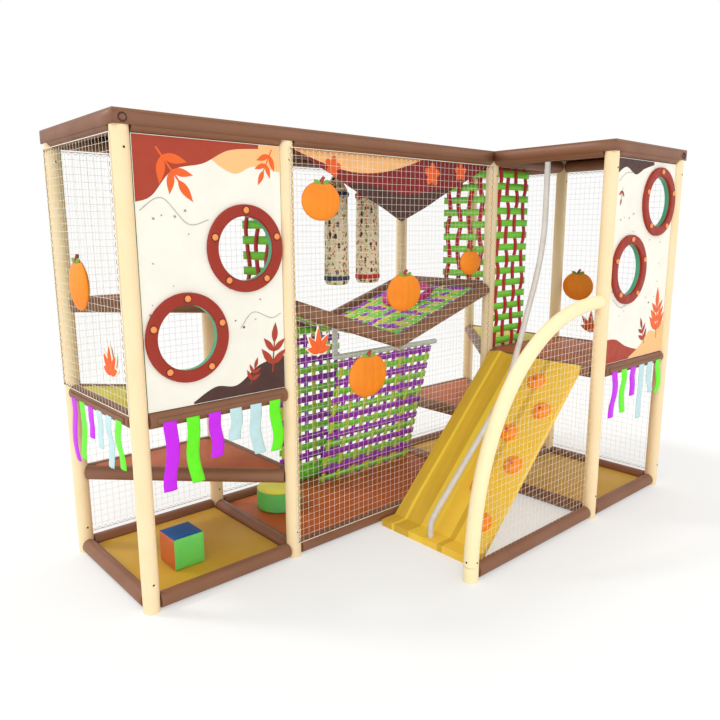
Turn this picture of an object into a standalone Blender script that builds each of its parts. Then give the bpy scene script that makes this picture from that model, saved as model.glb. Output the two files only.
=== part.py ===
"""Indoor play maze: a padded tube frame with step decks, a woven crawl deck, a slide and nets.

The frame stands on a square grid of posts.  The main row is four cells long, and one more
cell stands in front of its right end.  All sizes are in metres and +Z is up.
"""
import math

import bmesh
import bpy
from mathutils import Matrix, Vector

# Grid and levels
CELL = 0.90
STEP_RISE = 0.50
ROOF_LEVEL = 2.39
SEAT_GAP = 0.0003

# Foam sleeved tubes
POST_RADIUS = 0.044
POST_SIDES = 16
BEAM_RADIUS = 0.0425
BEAM_SIDES = 12
STUB_HEIGHT = 0.09

# Decks and mats
BOARD_THICK = 0.05
BOARD_RISE = 0.035
BOARD_CORNER = 0.004
ROOF_PANEL_THICK = 0.010

# Printed front panels and their portholes
PANEL_THICK = 0.030
PORTHOLE_OUTER = 0.225
PORTHOLE_BORE = 0.165
LINER_WALL = 0.012
FLANGE_THICK = 0.020
FLANGE_EDGE = 0.007
PORTHOLE_MARGIN = 0.005
LEFT_LOW_LEVEL = 1.39
LEFT_HIGH_LEVEL = 1.82
RIGHT_LOW_LEVEL = 1.65
RIGHT_HIGH_LEVEL = 2.09
PORTHOLE_SIDES = 20
BUTTON_COUNT = 5
BUTTON_RADIUS = 0.020

# Woven straps
STRAP_THICK = 0.006
WEAVE_LIFT = 0.0025
DECK_STRAP_WIDTH = 0.120
CURTAIN_STRAP_WIDTH = 0.055
CURTAIN_SNAKE = 0.018
CURTAIN_WIDTH = 0.40
CRAWL_STRAPS = (4, 9)
WALL_STRAPS = (4, 5)
CURTAIN_STRAPS = (3, 3)
CRAWL_APEX_ALONG = 0.87
CRAWL_APEX_LEVEL = 1.20
CRAWL_RING_ALONG = 1.49
CRAWL_RING_ACROSS = 0.52
CRAWL_RING_RADIUS = 0.17
CRAWL_RING_TUBE = 0.026

# Woven wall under the crawl deck
WALL_PIPE_RADIUS = 0.020
WALL_PIPE_LEVEL = 1.05
WALL_PIPE_DEPTH = CELL / 2
WALL_PIPE_SIDES = 12
WALL_FOOT_DEPTH = 0.70
WALL_LEFT = 1.64
WALL_RIGHT = 2.59
SLING_WIDTH = 0.05
SLING_ROWS = (3, 6)
PIPE_OVERHANG = 0.04

# Upright woven panel at the back of the middle bay
REAR_LEFT = 1.40
REAR_RIGHT = 1.98
REAR_GAP = 0.0085
REAR_STRAPS = (3, 5)
REAR_TOP_GAP = 0.012

# Punch bags
BAG_RADIUS = 0.0825
BAG_RING_PROUD = 0.005
BAG_RING_PITCH = 0.030
BAG_OFFSET = 0.73
BAG_SPACING = 0.28
BAG_BOTTOM = 1.55
BAG_SHOULDER = 2.17
BALL_RADIUS = 0.012
HANGER_LENGTH = 0.045
HANGER_NECK = 0.006

# Slide bay: reaches are measured to the left of the slide's top post
SLIDE_REACH = 1.13
SLIDE_THICK = 0.045
SLIDE_TOP_THICK = 0.089
SLIDE_BACK_GAP = 0.060
SLIDE_FRONT_GAP = 0.100
SLIDE_SPLIT = 0.420
SLIDE_RIDGE = 0.014
SLIDE_RIDGE_COUNT = 2
SLIDE_RIDGE_STEPS = 8
SLIDE_TOE = 0.12
GRIP_COUNT = 6
GRIP_ROWS = (0.27, 0.65)
GRIP_FIRST = 0.12
GRIP_PITCH = 0.15
GRIP_RADIUS = 0.055
GRIP_HEIGHT = 0.041
ARCH_REACH = 1.25
ARCH_TOP = 1.46
ARCH_FULLNESS = 2.3
ARCH_STEPS = 12
ARCH_NET_GAP = 0.004
ARCH_NET_BARS = 3
RAIL_RADIUS = 0.019
RAIL_FOOT_INSET = 0.045
RAIL_FOOT_RISE = 0.100
RAIL_BENDS = [
    (0.000, 2.10), (0.010, 1.85), (0.070, 1.60), (0.160, 1.36), (0.240, 1.15),
    (0.340, 0.93), (0.520, 0.70), (0.900, 0.33), (1.060, 0.17),
]

# Soft trim
RIBBON_WIDTH = 0.057
RIBBON_THICK = 0.004
RIBBON_WAVE = 0.010
RIBBON_HEADER = 0.030
RIBBON_MARGIN = 0.030
RIBBON_STEPS = 5
RIBBON_DROPS = {
    "ribbons_left": (0.25, 0.28, 0.20, 0.17, 0.33, 0.37),
    "ribbons_front": (0.36, 0.35, 0.24, 0.17, 0.28, 0.29),
    "ribbons_right": (0.31, 0.30, 0.20, 0.38, 0.22, 0.24),
}
PENNANT_DROP = 0.385
PENNANT_EDGE = 0.010
PENNANT_MARGIN = 0.020
PENNANT_THICK = 0.006
PENNANT_FOLD = 0.010
PENNANT_FOLDS = 4
PENNANT_STEPS = 12

# Nets
NET_CORD = 0.006
NET_HEM = 0.018

# Loose toys
CUBE_SIDE = 0.19
CUBE_ALONG = 0.33
CUBE_DEPTH = 0.30
DRUM_RADIUS = 0.15
DRUM_HEIGHT = 0.15
DRUM_ALONG = 1.20
DRUM_DEPTH = 0.58
TOY_ROUNDING = 0.018

# The part's origin is the middle of its footprint, on the floor
SIDE_REACH = POST_RADIUS + SEAT_GAP + NET_CORD
RIBBON_REACH = BEAM_RADIUS + SEAT_GAP + RIBBON_THICK + RIBBON_WAVE
LEFT_EDGE = -2 * CELL + (RIBBON_REACH - SIDE_REACH) / 2
MAIN_FRONT = (RIBBON_REACH - SIDE_REACH) / 2

MAT_THICK = STUB_HEIGHT / 2
BEAM_END = POST_RADIUS + SEAT_GAP
ROOF_UNDERSIDE = ROOF_LEVEL - BEAM_RADIUS - SEAT_GAP
ROOF_STUB_BOTTOM = ROOF_LEVEL - STUB_HEIGHT / 2

POSTS = {
    "post_left_front": (0, 0),
    "post_left_back": (0, 1),
    "post_bay_front": (1, 0),
    "post_bay_back": (1, 1),
    "post_middle_front": (3, 0),
    "post_middle_back": (3, 1),
    "post_slide_front": (3, -1),
    "post_right_front": (4, -1),
    "post_right_middle": (4, 0),
    "post_right_back": (4, 1),
}

FRAME_RUNS = [
    ((0, 0), (4, 0)), ((0, 1), (4, 1)), ((3, -1), (4, -1)), ((0, 0), (0, 1)),
    ((1, 0), (1, 1)), ((3, -1), (3, 1)), ((4, -1), (4, 1)),
]

COLOURS = {
    "cream_foam": ((0.984, 0.765, 0.462), 0.60),
    "brown_foam": ((0.198, 0.084, 0.051), 0.65),
    "ochre_mat": ((0.571, 0.361, 0.025), 0.60),
    "orange_deck": ((0.434, 0.103, 0.021), 0.60),
    "yellow_deck": ((0.791, 0.871, 0.068), 0.60),
    "board_white": ((0.95, 0.95, 0.85), 0.45),
    "ring_red": ((0.342, 0.032, 0.009), 0.45),
    "strap_purple": ((0.195, 0.014, 0.352), 0.75),
    "strap_red": ((0.366, 0.007, 0.014), 0.75),
    "ring_magenta": ((0.60, 0.02, 0.33), 0.50),
    "pipe_grey": ((0.45, 0.50, 0.56), 0.35),
    "slide_yellow": ((0.871, 0.558, 0.036), 0.45),
    "climb_ochre": ((0.584, 0.366, 0.025), 0.50),
    "arch_cream": ((0.98, 0.90, 0.52), 0.55),
    "bag_cream": ((0.85, 0.74, 0.55), 0.70),
    "hanger_steel": ((0.55, 0.55, 0.57), 0.30),
    "net_cord": ((0.80, 0.76, 0.65), 0.80),
    "ribbon_purple": ((0.679, 0.005, 1.0), 0.70),
    "pennant_peach": ((1.0, 0.57, 0.205), 0.75),
    "cube_blue": ((0.012, 0.130, 0.328), 0.55),
    "drum_green": ((0.136, 0.644, 0.082), 0.55),
}


def spot(column, row, level=0.0):
    """World place of a grid point."""
    return Vector((LEFT_EDGE + column * CELL, MAIN_FRONT + row * CELL, level))


def place(along, depth, level):
    """World place from metres right of and behind the left front post."""
    return Vector((LEFT_EDGE + along, MAIN_FRONT + depth, level))


def clear_scene():
    """Remove what the scene holds."""
    for item in list(bpy.data.objects):
        bpy.data.objects.remove(item, do_unlink=True)


def make_collection(name):
    """A collection linked to the scene."""
    collection = bpy.data.collections.new(name)
    bpy.context.scene.collection.children.link(collection)
    return collection


def make_material(name, colour, roughness):
    """One Principled material."""
    material = bpy.data.materials.new(name)
    material.use_nodes = True
    shader = material.node_tree.nodes["Principled BSDF"]
    shader.inputs["Base Color"].default_value = (*colour, 1.0)
    shader.inputs["Roughness"].default_value = roughness
    metal = 1.0 if name == "hanger_steel" else 0.0
    shader.inputs["Metallic"].default_value = metal
    material.diffuse_color = (*colour, 1.0)
    return material


def object_from(mesh_builder, name):
    """An object from a bmesh, which is freed."""
    mesh = bpy.data.meshes.new(name)
    bmesh.ops.recalc_face_normals(mesh_builder, faces=mesh_builder.faces)
    mesh_builder.to_mesh(mesh)
    mesh_builder.free()
    item = bpy.data.objects.new(name, mesh)
    bpy.context.scene.collection.objects.link(item)
    return item


def bake(item):
    """Replace an object's mesh by its evaluated one, with modifiers gone and doubles welded."""
    graph = bpy.context.evaluated_depsgraph_get()
    mesh = bpy.data.meshes.new_from_object(item.evaluated_get(graph))
    builder = bmesh.new()
    builder.from_mesh(mesh)
    bmesh.ops.remove_doubles(builder, verts=builder.verts, dist=0.00001)
    builder.transform(item.matrix_world)
    name = item.name
    bpy.data.objects.remove(item, do_unlink=True)
    bpy.data.meshes.remove(mesh)
    return object_from(builder, name)


def combine(item, tools, operation, solver="EXACT"):
    """Apply one boolean after another, and remove the tools."""
    for tool in tools:
        boolean = item.modifiers.new("join", "BOOLEAN")
        boolean.operation = operation
        boolean.solver = solver
        boolean.object = tool
        item = bake(item)
        bpy.data.objects.remove(tool, do_unlink=True)
    return item


def rod(name, start, end, radius, sides):
    """A straight round bar with closed ends."""
    axis = end - start
    turn = Vector((0, 0, 1)).rotation_difference(axis).to_matrix().to_4x4()
    builder = bmesh.new()
    bmesh.ops.create_cone(builder, cap_ends=True, segments=sides, radius1=radius, radius2=radius,
                          depth=axis.length, matrix=Matrix.Translation((start + end) / 2) @ turn)
    return object_from(builder, name)


def block(name, low, high):
    """A box between two corners."""
    size = high - low
    builder = bmesh.new()
    bmesh.ops.create_cube(builder, size=1.0,
                          matrix=Matrix.Translation((low + high) / 2) @ Matrix.Diagonal((*size, 1.0)))
    return object_from(builder, name)


def ball(name, centre, radii, sides, rings):
    """A ball, round or flattened."""
    builder = bmesh.new()
    bmesh.ops.create_uvsphere(builder, u_segments=sides, v_segments=rings, radius=1.0,
                              matrix=Matrix.Translation(centre) @ Matrix.Diagonal((*radii, 1.0)))
    return object_from(builder, name)


def bent_tube(name, points, radius, resolution):
    """A tube along a smooth curve through points, with filled ends."""
    curve = bpy.data.curves.new(name, "CURVE")
    curve.dimensions = "3D"
    curve.bevel_depth = radius
    curve.bevel_resolution = resolution
    curve.use_fill_caps = True
    spline = curve.splines.new("POLY")
    spline.points.add(len(points) - 1)
    for point, where in zip(spline.points, points):
        point.co = (*where, 1.0)
    item = bpy.data.objects.new(name, curve)
    bpy.context.scene.collection.objects.link(item)
    return bake(item)


def smooth_route(points, steps):
    """Points on a smooth curve through the given ones."""
    route = []
    last = len(points) - 1
    for index in range(last):
        before = points[max(index - 1, 0)]
        here = points[index]
        there = points[index + 1]
        after = points[min(index + 2, last)]
        for step in range(steps):
            t = step / steps
            pull = (there - before) * t + (2 * before - 5 * here + 4 * there - after) * t ** 2
            turn = (3 * here - before - 3 * there + after) * t ** 3
            route.append(here + 0.5 * (pull + turn))
    route.append(points[last])
    return route


def plate(name, outline, extent):
    """A flat outline of world points, swept by one vector."""
    builder = bmesh.new()
    rim = [builder.verts.new(point) for point in outline]
    face = builder.faces.new(rim)
    swept = bmesh.ops.extrude_face_region(builder, geom=[face])
    moved = [part for part in swept["geom"] if isinstance(part, bmesh.types.BMVert)]
    bmesh.ops.translate(builder, verts=moved, vec=extent)
    return object_from(builder, name)


def strap(name, path, width, thickness):
    """A band along a path, as wide as the vector width, with its thickness centred."""
    builder = bmesh.new()
    points = [builder.verts.new(point - width / 2) for point in path]
    edges = [builder.edges.new(pair) for pair in zip(points, points[1:])]
    swept = bmesh.ops.extrude_edge_only(builder, edges=edges)
    moved = [part for part in swept["geom"] if isinstance(part, bmesh.types.BMVert)]
    bmesh.ops.translate(builder, verts=moved, vec=width)
    item = object_from(builder, name)
    shell = item.modifiers.new("thickness", "SOLIDIFY")
    shell.thickness = thickness
    shell.offset = 0.0
    return bake(item)


def woven(name, at, length, breadth, counts, widths, bends=(), snake=0.0):
    """Straps woven over and under each other, fused where they cross.

    at(u, v, w) gives the world point u along, v across and w off the sheet.
    """
    along_count, across_count = counts
    along_width, across_width = widths
    columns = [breadth * (index + 0.5) / along_count for index in range(along_count)]
    rows = [length * (index + 0.5) / across_count for index in range(across_count)]
    pieces = []
    for i, v in enumerate(columns):
        stations = [(0.0, 0.0), (length, 0.0)] + [(u, None) for u in bends]
        for j, u in enumerate(rows):
            lift = WEAVE_LIFT * (-1) ** (i + j)
            stations.append((u - across_width / 2, lift))
            stations.append((u + across_width / 2, lift))
        stations.sort(key=lambda station: station[0])
        path = []
        for index, (u, lift) in enumerate(stations):
            height = 0.0 if lift is None else lift
            sway = snake * (-1) ** (index // 2)
            path.append(at(u, v + sway, height))
        width = at(0.0, v + along_width / 2, 0.0) - at(0.0, v - along_width / 2, 0.0)
        pieces.append(strap(name, path, width, STRAP_THICK))
    for j, u in enumerate(rows):
        path = [at(u, 0.0, 0.0)]
        for i, v in enumerate(columns):
            lift = -WEAVE_LIFT * (-1) ** (i + j)
            path.append(at(u, v - along_width / 2, lift))
            path.append(at(u, v + along_width / 2, lift))
        path.append(at(u, breadth, 0.0))
        width = at(u + across_width / 2, 0.0, 0.0) - at(u - across_width / 2, 0.0, 0.0)
        pieces.append(strap(name, path, width, STRAP_THICK))
    return combine(pieces[0], pieces[1:], "UNION")


def net(name, corner, right, up, gaps):
    """A flat net: a hemmed grid of cords from one corner, facing right cross up."""
    across, high = gaps
    normal = right.cross(up).normalized() * NET_CORD
    cell_u = (1.0 - NET_HEM / right.length) / across
    cell_v = (1.0 - NET_HEM / up.length) / high
    hem_u = NET_HEM / right.length
    hem_v = NET_HEM / up.length
    sheet = plate(name, [corner, corner + right, corner + right + up, corner + up], normal)
    cutter = bmesh.new()
    for i in range(across):
        for j in range(high):
            low = corner + right * (hem_u + i * cell_u) + up * (hem_v + j * cell_v) - normal
            wide = right * (cell_u - hem_u)
            tall = up * (cell_v - hem_v)
            rim = [cutter.verts.new(point) for point in (low, low + wide, low + wide + tall, low + tall)]
            swept = bmesh.ops.extrude_face_region(cutter, geom=[cutter.faces.new(rim)])
            moved = [part for part in swept["geom"] if isinstance(part, bmesh.types.BMVert)]
            bmesh.ops.translate(cutter, verts=moved, vec=normal * 3)
    return combine(sheet, [object_from(cutter, "gaps")], "DIFFERENCE")


def beam(name, start, end, level):
    """A sleeved beam between two posts, clear of both."""
    first = spot(*start, level)
    second = spot(*end, level)
    run = (second - first).normalized()
    return rod(name, first + run * BEAM_END, second - run * BEAM_END, BEAM_RADIUS, BEAM_SIDES)


def post_clearances(name, corners, level, margin=SEAT_GAP):
    """Cutters a margin larger than the posts at these grid points."""
    lift = Vector((0, 0, 2 * BEAM_RADIUS))
    centres = [spot(*corner, level) for corner in corners]
    return [rod(name, centre - lift, centre + lift, POST_RADIUS + margin, POST_SIDES) for centre in centres]


def padded_deck(name, corners, level, shared=None):
    """Beams round a board.  The edge named shared belongs to the neighbouring deck."""
    board = plate(name, [spot(*corner, level + BOARD_RISE - BOARD_THICK) for corner in corners],
                  Vector((0, 0, BOARD_THICK)))
    board = combine(board, post_clearances(name, corners, level, SEAT_GAP + BOARD_CORNER), "DIFFERENCE")
    loop = list(zip(corners, corners[1:] + corners[:1]))
    beams = [beam(name, start, end, level) for start, end in loop if {start, end} != shared]
    deck = combine(board, beams, "UNION")
    if not shared:
        return deck
    start, end = [spot(*corner, level) for corner in sorted(shared)]
    past = (end - start).normalized() * 2 * BEAM_RADIUS
    neighbour = rod(name, start - past, end + past, BEAM_RADIUS + SEAT_GAP, BEAM_SIDES)
    return combine(deck, [neighbour], "DIFFERENCE")


def tube_frame(name, runs, level, stubs, extra=()):
    """Beams fused at short upright stubs, on which or under which the posts stand."""
    rise = Vector((0, 0, level))
    half = Vector((0, 0, STUB_HEIGHT / 2))
    uprights = [rod(name, point + rise - half, point + rise + half, POST_RADIUS, POST_SIDES)
                for point in stubs]
    bars = [rod(name, first + rise, second + rise, BEAM_RADIUS, BEAM_SIDES)
            for first, second in list(runs) + list(extra)]
    return combine(uprights[0], uprights[1:] + bars, "UNION")


def porthole(name, centre):
    """A flanged ring with its liner through the panel and five raised buttons."""
    front = PANEL_THICK / 2 + SEAT_GAP
    liner = PORTHOLE_BORE + LINER_WALL
    face = front + FLANGE_THICK
    profile = [
        (PORTHOLE_BORE, -PANEL_THICK / 2), (liner, -PANEL_THICK / 2), (liner, front),
        (PORTHOLE_OUTER, front), (PORTHOLE_OUTER, face - FLANGE_EDGE), (PORTHOLE_OUTER - FLANGE_EDGE, face),
        (PORTHOLE_BORE + FLANGE_EDGE, face), (PORTHOLE_BORE, face - FLANGE_EDGE),
    ]
    builder = bmesh.new()
    rim = [builder.verts.new((radius, -depth, 0)) for radius, depth in profile]
    edges = [builder.edges.new(pair) for pair in zip(rim, rim[1:] + rim[:1])]
    bmesh.ops.spin(builder, geom=rim + edges, cent=(0, 0, 0), axis=(0, 1, 0), angle=2 * math.pi,
                   steps=PORTHOLE_SIDES, use_merge=True)
    builder.transform(Matrix.Translation(centre))
    ring = object_from(builder, name)
    middle = (PORTHOLE_OUTER + PORTHOLE_BORE) / 2
    buttons = []
    for index in range(BUTTON_COUNT):
        angle = math.pi / 2 + 2 * math.pi * index / BUTTON_COUNT
        where = centre + Vector((middle * math.cos(angle), -face, middle * math.sin(angle)))
        buttons.append(ball(name, where, (BUTTON_RADIUS, BUTTON_RADIUS / 2, BUTTON_RADIUS), 8, 5))
    return combine(ring, buttons, "UNION")


def front_panel(name, start, end, centres):
    """A board between two posts, with a bore for each porthole."""
    low = spot(*start, STEP_RISE * 2 + BEAM_RADIUS + SEAT_GAP) + Vector((BEAM_END, -PANEL_THICK / 2, 0))
    high = spot(*end, ROOF_UNDERSIDE) + Vector((-BEAM_END, PANEL_THICK / 2, 0))
    reach = Vector((0, PANEL_THICK, 0))
    radius = PORTHOLE_BORE + LINER_WALL + SEAT_GAP
    bores = [rod(name, centre - reach, centre + reach, radius, PORTHOLE_SIDES) for centre in centres]
    return combine(block(name, low, high), bores, "DIFFERENCE")


def panel_clearance(name):
    """A cutter a gap thicker than the left panel, where the high step deck meets it."""
    deep = Vector((0, PANEL_THICK / 2 + SEAT_GAP, 0))
    tall = Vector((0, 0, 2 * BEAM_RADIUS))
    return block(name, spot(0, 0, 3 * STEP_RISE) - deep - tall, spot(1, 0, 3 * STEP_RISE) + deep + tall)


def crawl_point(along, depth):
    """Centre line of the V-shaped crawl deck, a place along the middle bay."""
    top = 3 * STEP_RISE
    if along < CRAWL_APEX_ALONG:
        share = along / CRAWL_APEX_ALONG
    else:
        share = (2 * CELL - along) / (2 * CELL - CRAWL_APEX_ALONG)
    return place(CELL + along, depth, top + (CRAWL_APEX_LEVEL - top) * share)


def crawl_slopes():
    """Start, direction, normal and length of the left and the right slope."""
    seat = BEAM_RADIUS + SEAT_GAP
    slopes = []
    for first, last in ((seat, CRAWL_APEX_ALONG), (CRAWL_APEX_ALONG, 2 * CELL - seat)):
        start = crawl_point(first, 0)
        run = crawl_point(last, 0) - start
        direction = run.normalized()
        normal = Vector((-direction.z, 0, direction.x))
        slopes.append((start, direction, normal, run.length))
    return slopes


def crawl_seat(travelled):
    """Point, direction and normal of the woven deck, a distance along both slopes from the left."""
    left, right = crawl_slopes()
    start, direction, normal, _ = left
    if travelled > left[3]:
        start, direction, normal, _ = right
        travelled -= left[3]
    return start + direction * travelled, direction, normal


def crawl_rail(name, row):
    """One bent side rail of the crawl deck."""
    depth = row * CELL
    foot = crawl_point(CRAWL_APEX_ALONG, depth)
    halves = [rod(name, crawl_point(along, depth), foot, BEAM_RADIUS, BEAM_SIDES)
              for along in (BEAM_END, 2 * CELL - BEAM_END)]
    elbow = ball(name, foot, (BEAM_RADIUS,) * 3, BEAM_SIDES, 6)
    rail = combine(halves[0], [halves[1], elbow], "UNION")
    return combine(rail, post_clearances(name, [(1, row), (3, row)], 3 * STEP_RISE), "DIFFERENCE")


def crawl_weave(name):
    """The woven deck between the rails, bent at the foot of the V."""
    edge = BEAM_RADIUS + SEAT_GAP

    def at(u, v, w):
        point, _, normal = crawl_seat(u)
        return point + Vector((0, edge + v, 0)) + normal * w

    left, right = [slope[3] for slope in crawl_slopes()]
    widths = (DECK_STRAP_WIDTH, DECK_STRAP_WIDTH)
    sheet = woven(name, at, left + right, CELL - 2 * edge, CRAWL_STRAPS, widths, bends=(left,))
    centre, normal = crawl_ring_seat()
    reach = normal * DECK_STRAP_WIDTH
    bore = rod(name, centre - reach, centre + reach, CRAWL_RING_RADIUS - CRAWL_RING_TUBE, PORTHOLE_SIDES)
    return combine(sheet, [bore], "DIFFERENCE", "MANIFOLD")


def crawl_ring_seat():
    """Centre and normal of the padded opening in the right slope."""
    normal = crawl_slopes()[1][2]
    return crawl_point(CRAWL_RING_ALONG, CRAWL_RING_ACROSS), normal


def crawl_ring(name):
    """The padded ring that lies on the straps round the opening."""
    centre, normal = crawl_ring_seat()
    lift = STRAP_THICK / 2 + WEAVE_LIFT + SEAT_GAP + CRAWL_RING_TUBE
    turn = Vector((0, 0, 1)).rotation_difference(normal).to_matrix().to_4x4()
    bpy.ops.mesh.primitive_torus_add(major_radius=CRAWL_RING_RADIUS, minor_radius=CRAWL_RING_TUBE,
                                     major_segments=20, minor_segments=8)
    item = bpy.context.object
    item.name = name
    item.matrix_world = Matrix.Translation(centre + normal * lift) @ turn
    return bake(item)


def wall_pipe(name):
    """The pipe that holds the woven wall, hung from the crawl deck by two slings."""
    start = place(WALL_LEFT - PIPE_OVERHANG, WALL_PIPE_DEPTH, WALL_PIPE_LEVEL)
    end = place(WALL_RIGHT + PIPE_OVERHANG, WALL_PIPE_DEPTH, WALL_PIPE_LEVEL)
    pipe = rod(name, start, end, WALL_PIPE_RADIUS, WALL_PIPE_SIDES)
    total = sum(slope[3] for slope in crawl_slopes())
    slings = []
    for row in SLING_ROWS:
        top, direction, normal = crawl_seat(total * (row + 0.5) / CRAWL_STRAPS[1])
        top += Vector((0, WALL_PIPE_DEPTH, 0))
        top.z -= (STRAP_THICK / 2 + SEAT_GAP) / normal.z
        foot = Vector((top.x, top.y, WALL_PIPE_LEVEL))
        slings.append(strap(name, [top, foot], direction * SLING_WIDTH, STRAP_THICK))
    return combine(pipe, slings, "UNION")


def wall_weave(name):
    """The leaning woven wall from its pipe to the mat."""
    lean = math.atan2(WALL_FOOT_DEPTH - WALL_PIPE_DEPTH, WALL_PIPE_LEVEL - MAT_THICK)
    reach = math.hypot(WALL_FOOT_DEPTH - WALL_PIPE_DEPTH, WALL_PIPE_LEVEL - MAT_THICK)
    tilt = math.atan2(WEAVE_LIFT, (reach / WALL_STRAPS[1] - DECK_STRAP_WIDTH) / 2)
    seat = SEAT_GAP + STRAP_THICK / 2 * math.sin(lean + tilt)
    top = place(WALL_LEFT, WALL_PIPE_DEPTH, WALL_PIPE_LEVEL - WALL_PIPE_RADIUS - seat)
    foot = place(WALL_LEFT, WALL_FOOT_DEPTH, MAT_THICK + seat)
    down = (foot - top).normalized()
    normal = Vector((1, 0, 0)).cross(down)

    def at(u, v, w):
        return top + down * u + Vector((v, 0, 0)) + normal * w

    return woven(name, at, (foot - top).length, WALL_RIGHT - WALL_LEFT, WALL_STRAPS,
                 (DECK_STRAP_WIDTH, DECK_STRAP_WIDTH))


def rear_weave(name):
    """The upright woven panel from the mat to the underside of the crawl deck."""
    depth = CELL - BEAM_RADIUS - REAR_GAP
    normal = crawl_slopes()[0][2]
    foot = place(REAR_LEFT, depth, MAT_THICK + SEAT_GAP)
    height = crawl_point(REAR_LEFT - CELL, depth).z - foot.z

    def at(u, v, w):
        return foot + Vector((v, w, u))

    panel = woven(name, at, height, REAR_RIGHT - REAR_LEFT, REAR_STRAPS,
                  (DECK_STRAP_WIDTH, DECK_STRAP_WIDTH))
    drop = Vector((0, DECK_STRAP_WIDTH, (STRAP_THICK / 2 + WEAVE_LIFT + REAR_TOP_GAP) / normal.z))
    rim = [crawl_point(along, depth) - drop
           for along in (REAR_LEFT - CELL - DECK_STRAP_WIDTH, CRAWL_APEX_ALONG,
                         REAR_RIGHT - CELL + DECK_STRAP_WIDTH)]
    rise = Vector((0, 0, height))
    above = plate(name, rim + [rim[2] + rise, rim[0] + rise], Vector((0, 2 * DECK_STRAP_WIDTH, 0)))
    return combine(panel, [above], "DIFFERENCE")


def curtain(name, start, run, bottom):
    """Wavy upright straps woven with level ones, hung under the roof."""
    top = ROOF_UNDERSIDE
    first = start + run * BEAM_END

    def at(u, v, w):
        return first + run * v + run.cross(Vector((0, 0, 1))) * w + Vector((0, 0, top - u))

    return woven(name, at, top - bottom - SEAT_GAP, CURTAIN_WIDTH, CURTAIN_STRAPS,
                 (CURTAIN_STRAP_WIDTH, CURTAIN_STRAP_WIDTH), snake=CURTAIN_SNAKE)


def slide_ends():
    """Toe and top of the slope's upper edge, at the middle of the bay's width."""
    toe = place(3 * CELL - SLIDE_REACH + SLIDE_TOE, 0, SLIDE_THICK)
    top = place(3 * CELL - BEAM_RADIUS - SEAT_GAP, 0, 2 * STEP_RISE + BOARD_RISE)
    return toe, top


def slide_half(name, back, front, rows=()):
    """One half of the slide between two depths, with ridges or grips laid down its slope."""
    toe, top = slide_ends()
    foot = toe - Vector((SLIDE_TOE, 0, SLIDE_THICK - SEAT_GAP))
    rim = [foot, foot + Vector((0, 0, SLIDE_THICK - SEAT_GAP)), toe, top,
           top - Vector((0, 0, SLIDE_TOP_THICK)), Vector((toe.x, toe.y, foot.z))]
    back_edge = Vector((0, -back, 0))
    half = plate(name, [point + back_edge for point in rim], Vector((0, back - front, 0)))
    return combine(half, rows, "UNION")


def slide_bed(name):
    """The sliding half, with its lengthwise ridges."""
    toe, top = slide_ends()
    steps = SLIDE_RIDGE_STEPS * SLIDE_RIDGE_COUNT
    section = []
    for step in range(steps + 1):
        depth = SLIDE_BACK_GAP + (SLIDE_SPLIT - SLIDE_BACK_GAP) * step / steps
        rise = SLIDE_RIDGE * (1 - math.cos(2 * math.pi * step / SLIDE_RIDGE_STEPS)) / 2
        section.append(toe + Vector((0, -depth, rise)))
    ridges = plate(name, section, top - toe)
    return slide_half(name, SLIDE_BACK_GAP, SLIDE_SPLIT, [ridges])


def climbing_ramp(name):
    """The climbing half, with two rows of rounded grips."""
    front = CELL - SLIDE_FRONT_GAP
    width = front - SLIDE_SPLIT - SEAT_GAP
    toe, top = slide_ends()
    grips = []
    for index in range(GRIP_COUNT):
        depth = front - width * GRIP_ROWS[index % 2]
        centre = toe.lerp(top, GRIP_FIRST + GRIP_PITCH * index) - Vector((0, depth, 0))
        grips.append(ball(name, centre, (GRIP_RADIUS, GRIP_RADIUS, GRIP_HEIGHT), 10, 6))
    return slide_half(name, SLIDE_SPLIT + SEAT_GAP, front, grips)


def arch_tube(name):
    """The padded arch from its foot on the floor to the slide's front post."""
    foot_along = 3 * CELL - ARCH_REACH
    floor = STUB_HEIGHT + SEAT_GAP
    points = [place(foot_along, -CELL, floor), place(foot_along, -CELL, floor + BEAM_RADIUS)]
    for step in range(1, ARCH_STEPS + 1):
        angle = math.pi / 2 * step / ARCH_STEPS
        along = 3 * CELL - ARCH_REACH * math.cos(angle) ** (2 / ARCH_FULLNESS)
        level = ARCH_TOP * math.sin(angle) ** (2 / ARCH_FULLNESS)
        if level > floor + 2 * BEAM_RADIUS:
            points.append(place(min(along, 3 * CELL - BEAM_END), -CELL, level))
    tube = bent_tube(name, points, BEAM_RADIUS, 3)
    return combine(tube, post_clearances(name, [(3, -1)], ARCH_TOP), "DIFFERENCE")


def handrail(name):
    """The bent pole from the roof beam down to the toe of the ramp."""
    foot_reach = SLIDE_REACH - RAIL_FOOT_INSET
    bends = [(0.0, ROOF_UNDERSIDE)] + RAIL_BENDS + [(foot_reach, RAIL_FOOT_RISE)]
    points = [place(3 * CELL - reach, -CELL / 2, level) for reach, level in bends]
    foot = place(3 * CELL - foot_reach, -CELL / 2, SLIDE_THICK + SEAT_GAP)
    return bent_tube(name, smooth_route(points, 2) + [foot], RAIL_RADIUS, 2)


def turned(name, centre, profile, sides):
    """A solid of revolution about a vertical axis, from (radius, level) pairs."""
    builder = bmesh.new()
    rim = [builder.verts.new((radius, 0, level)) for radius, level in profile]
    edges = [builder.edges.new(pair) for pair in zip(rim, rim[1:])]
    bmesh.ops.spin(builder, geom=rim + edges, cent=(0, 0, 0), axis=(0, 0, 1), angle=2 * math.pi,
                   steps=sides, use_merge=True)
    bmesh.ops.remove_doubles(builder, verts=builder.verts, dist=0.00001)
    builder.transform(Matrix.Translation(centre))
    return object_from(builder, name)


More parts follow.
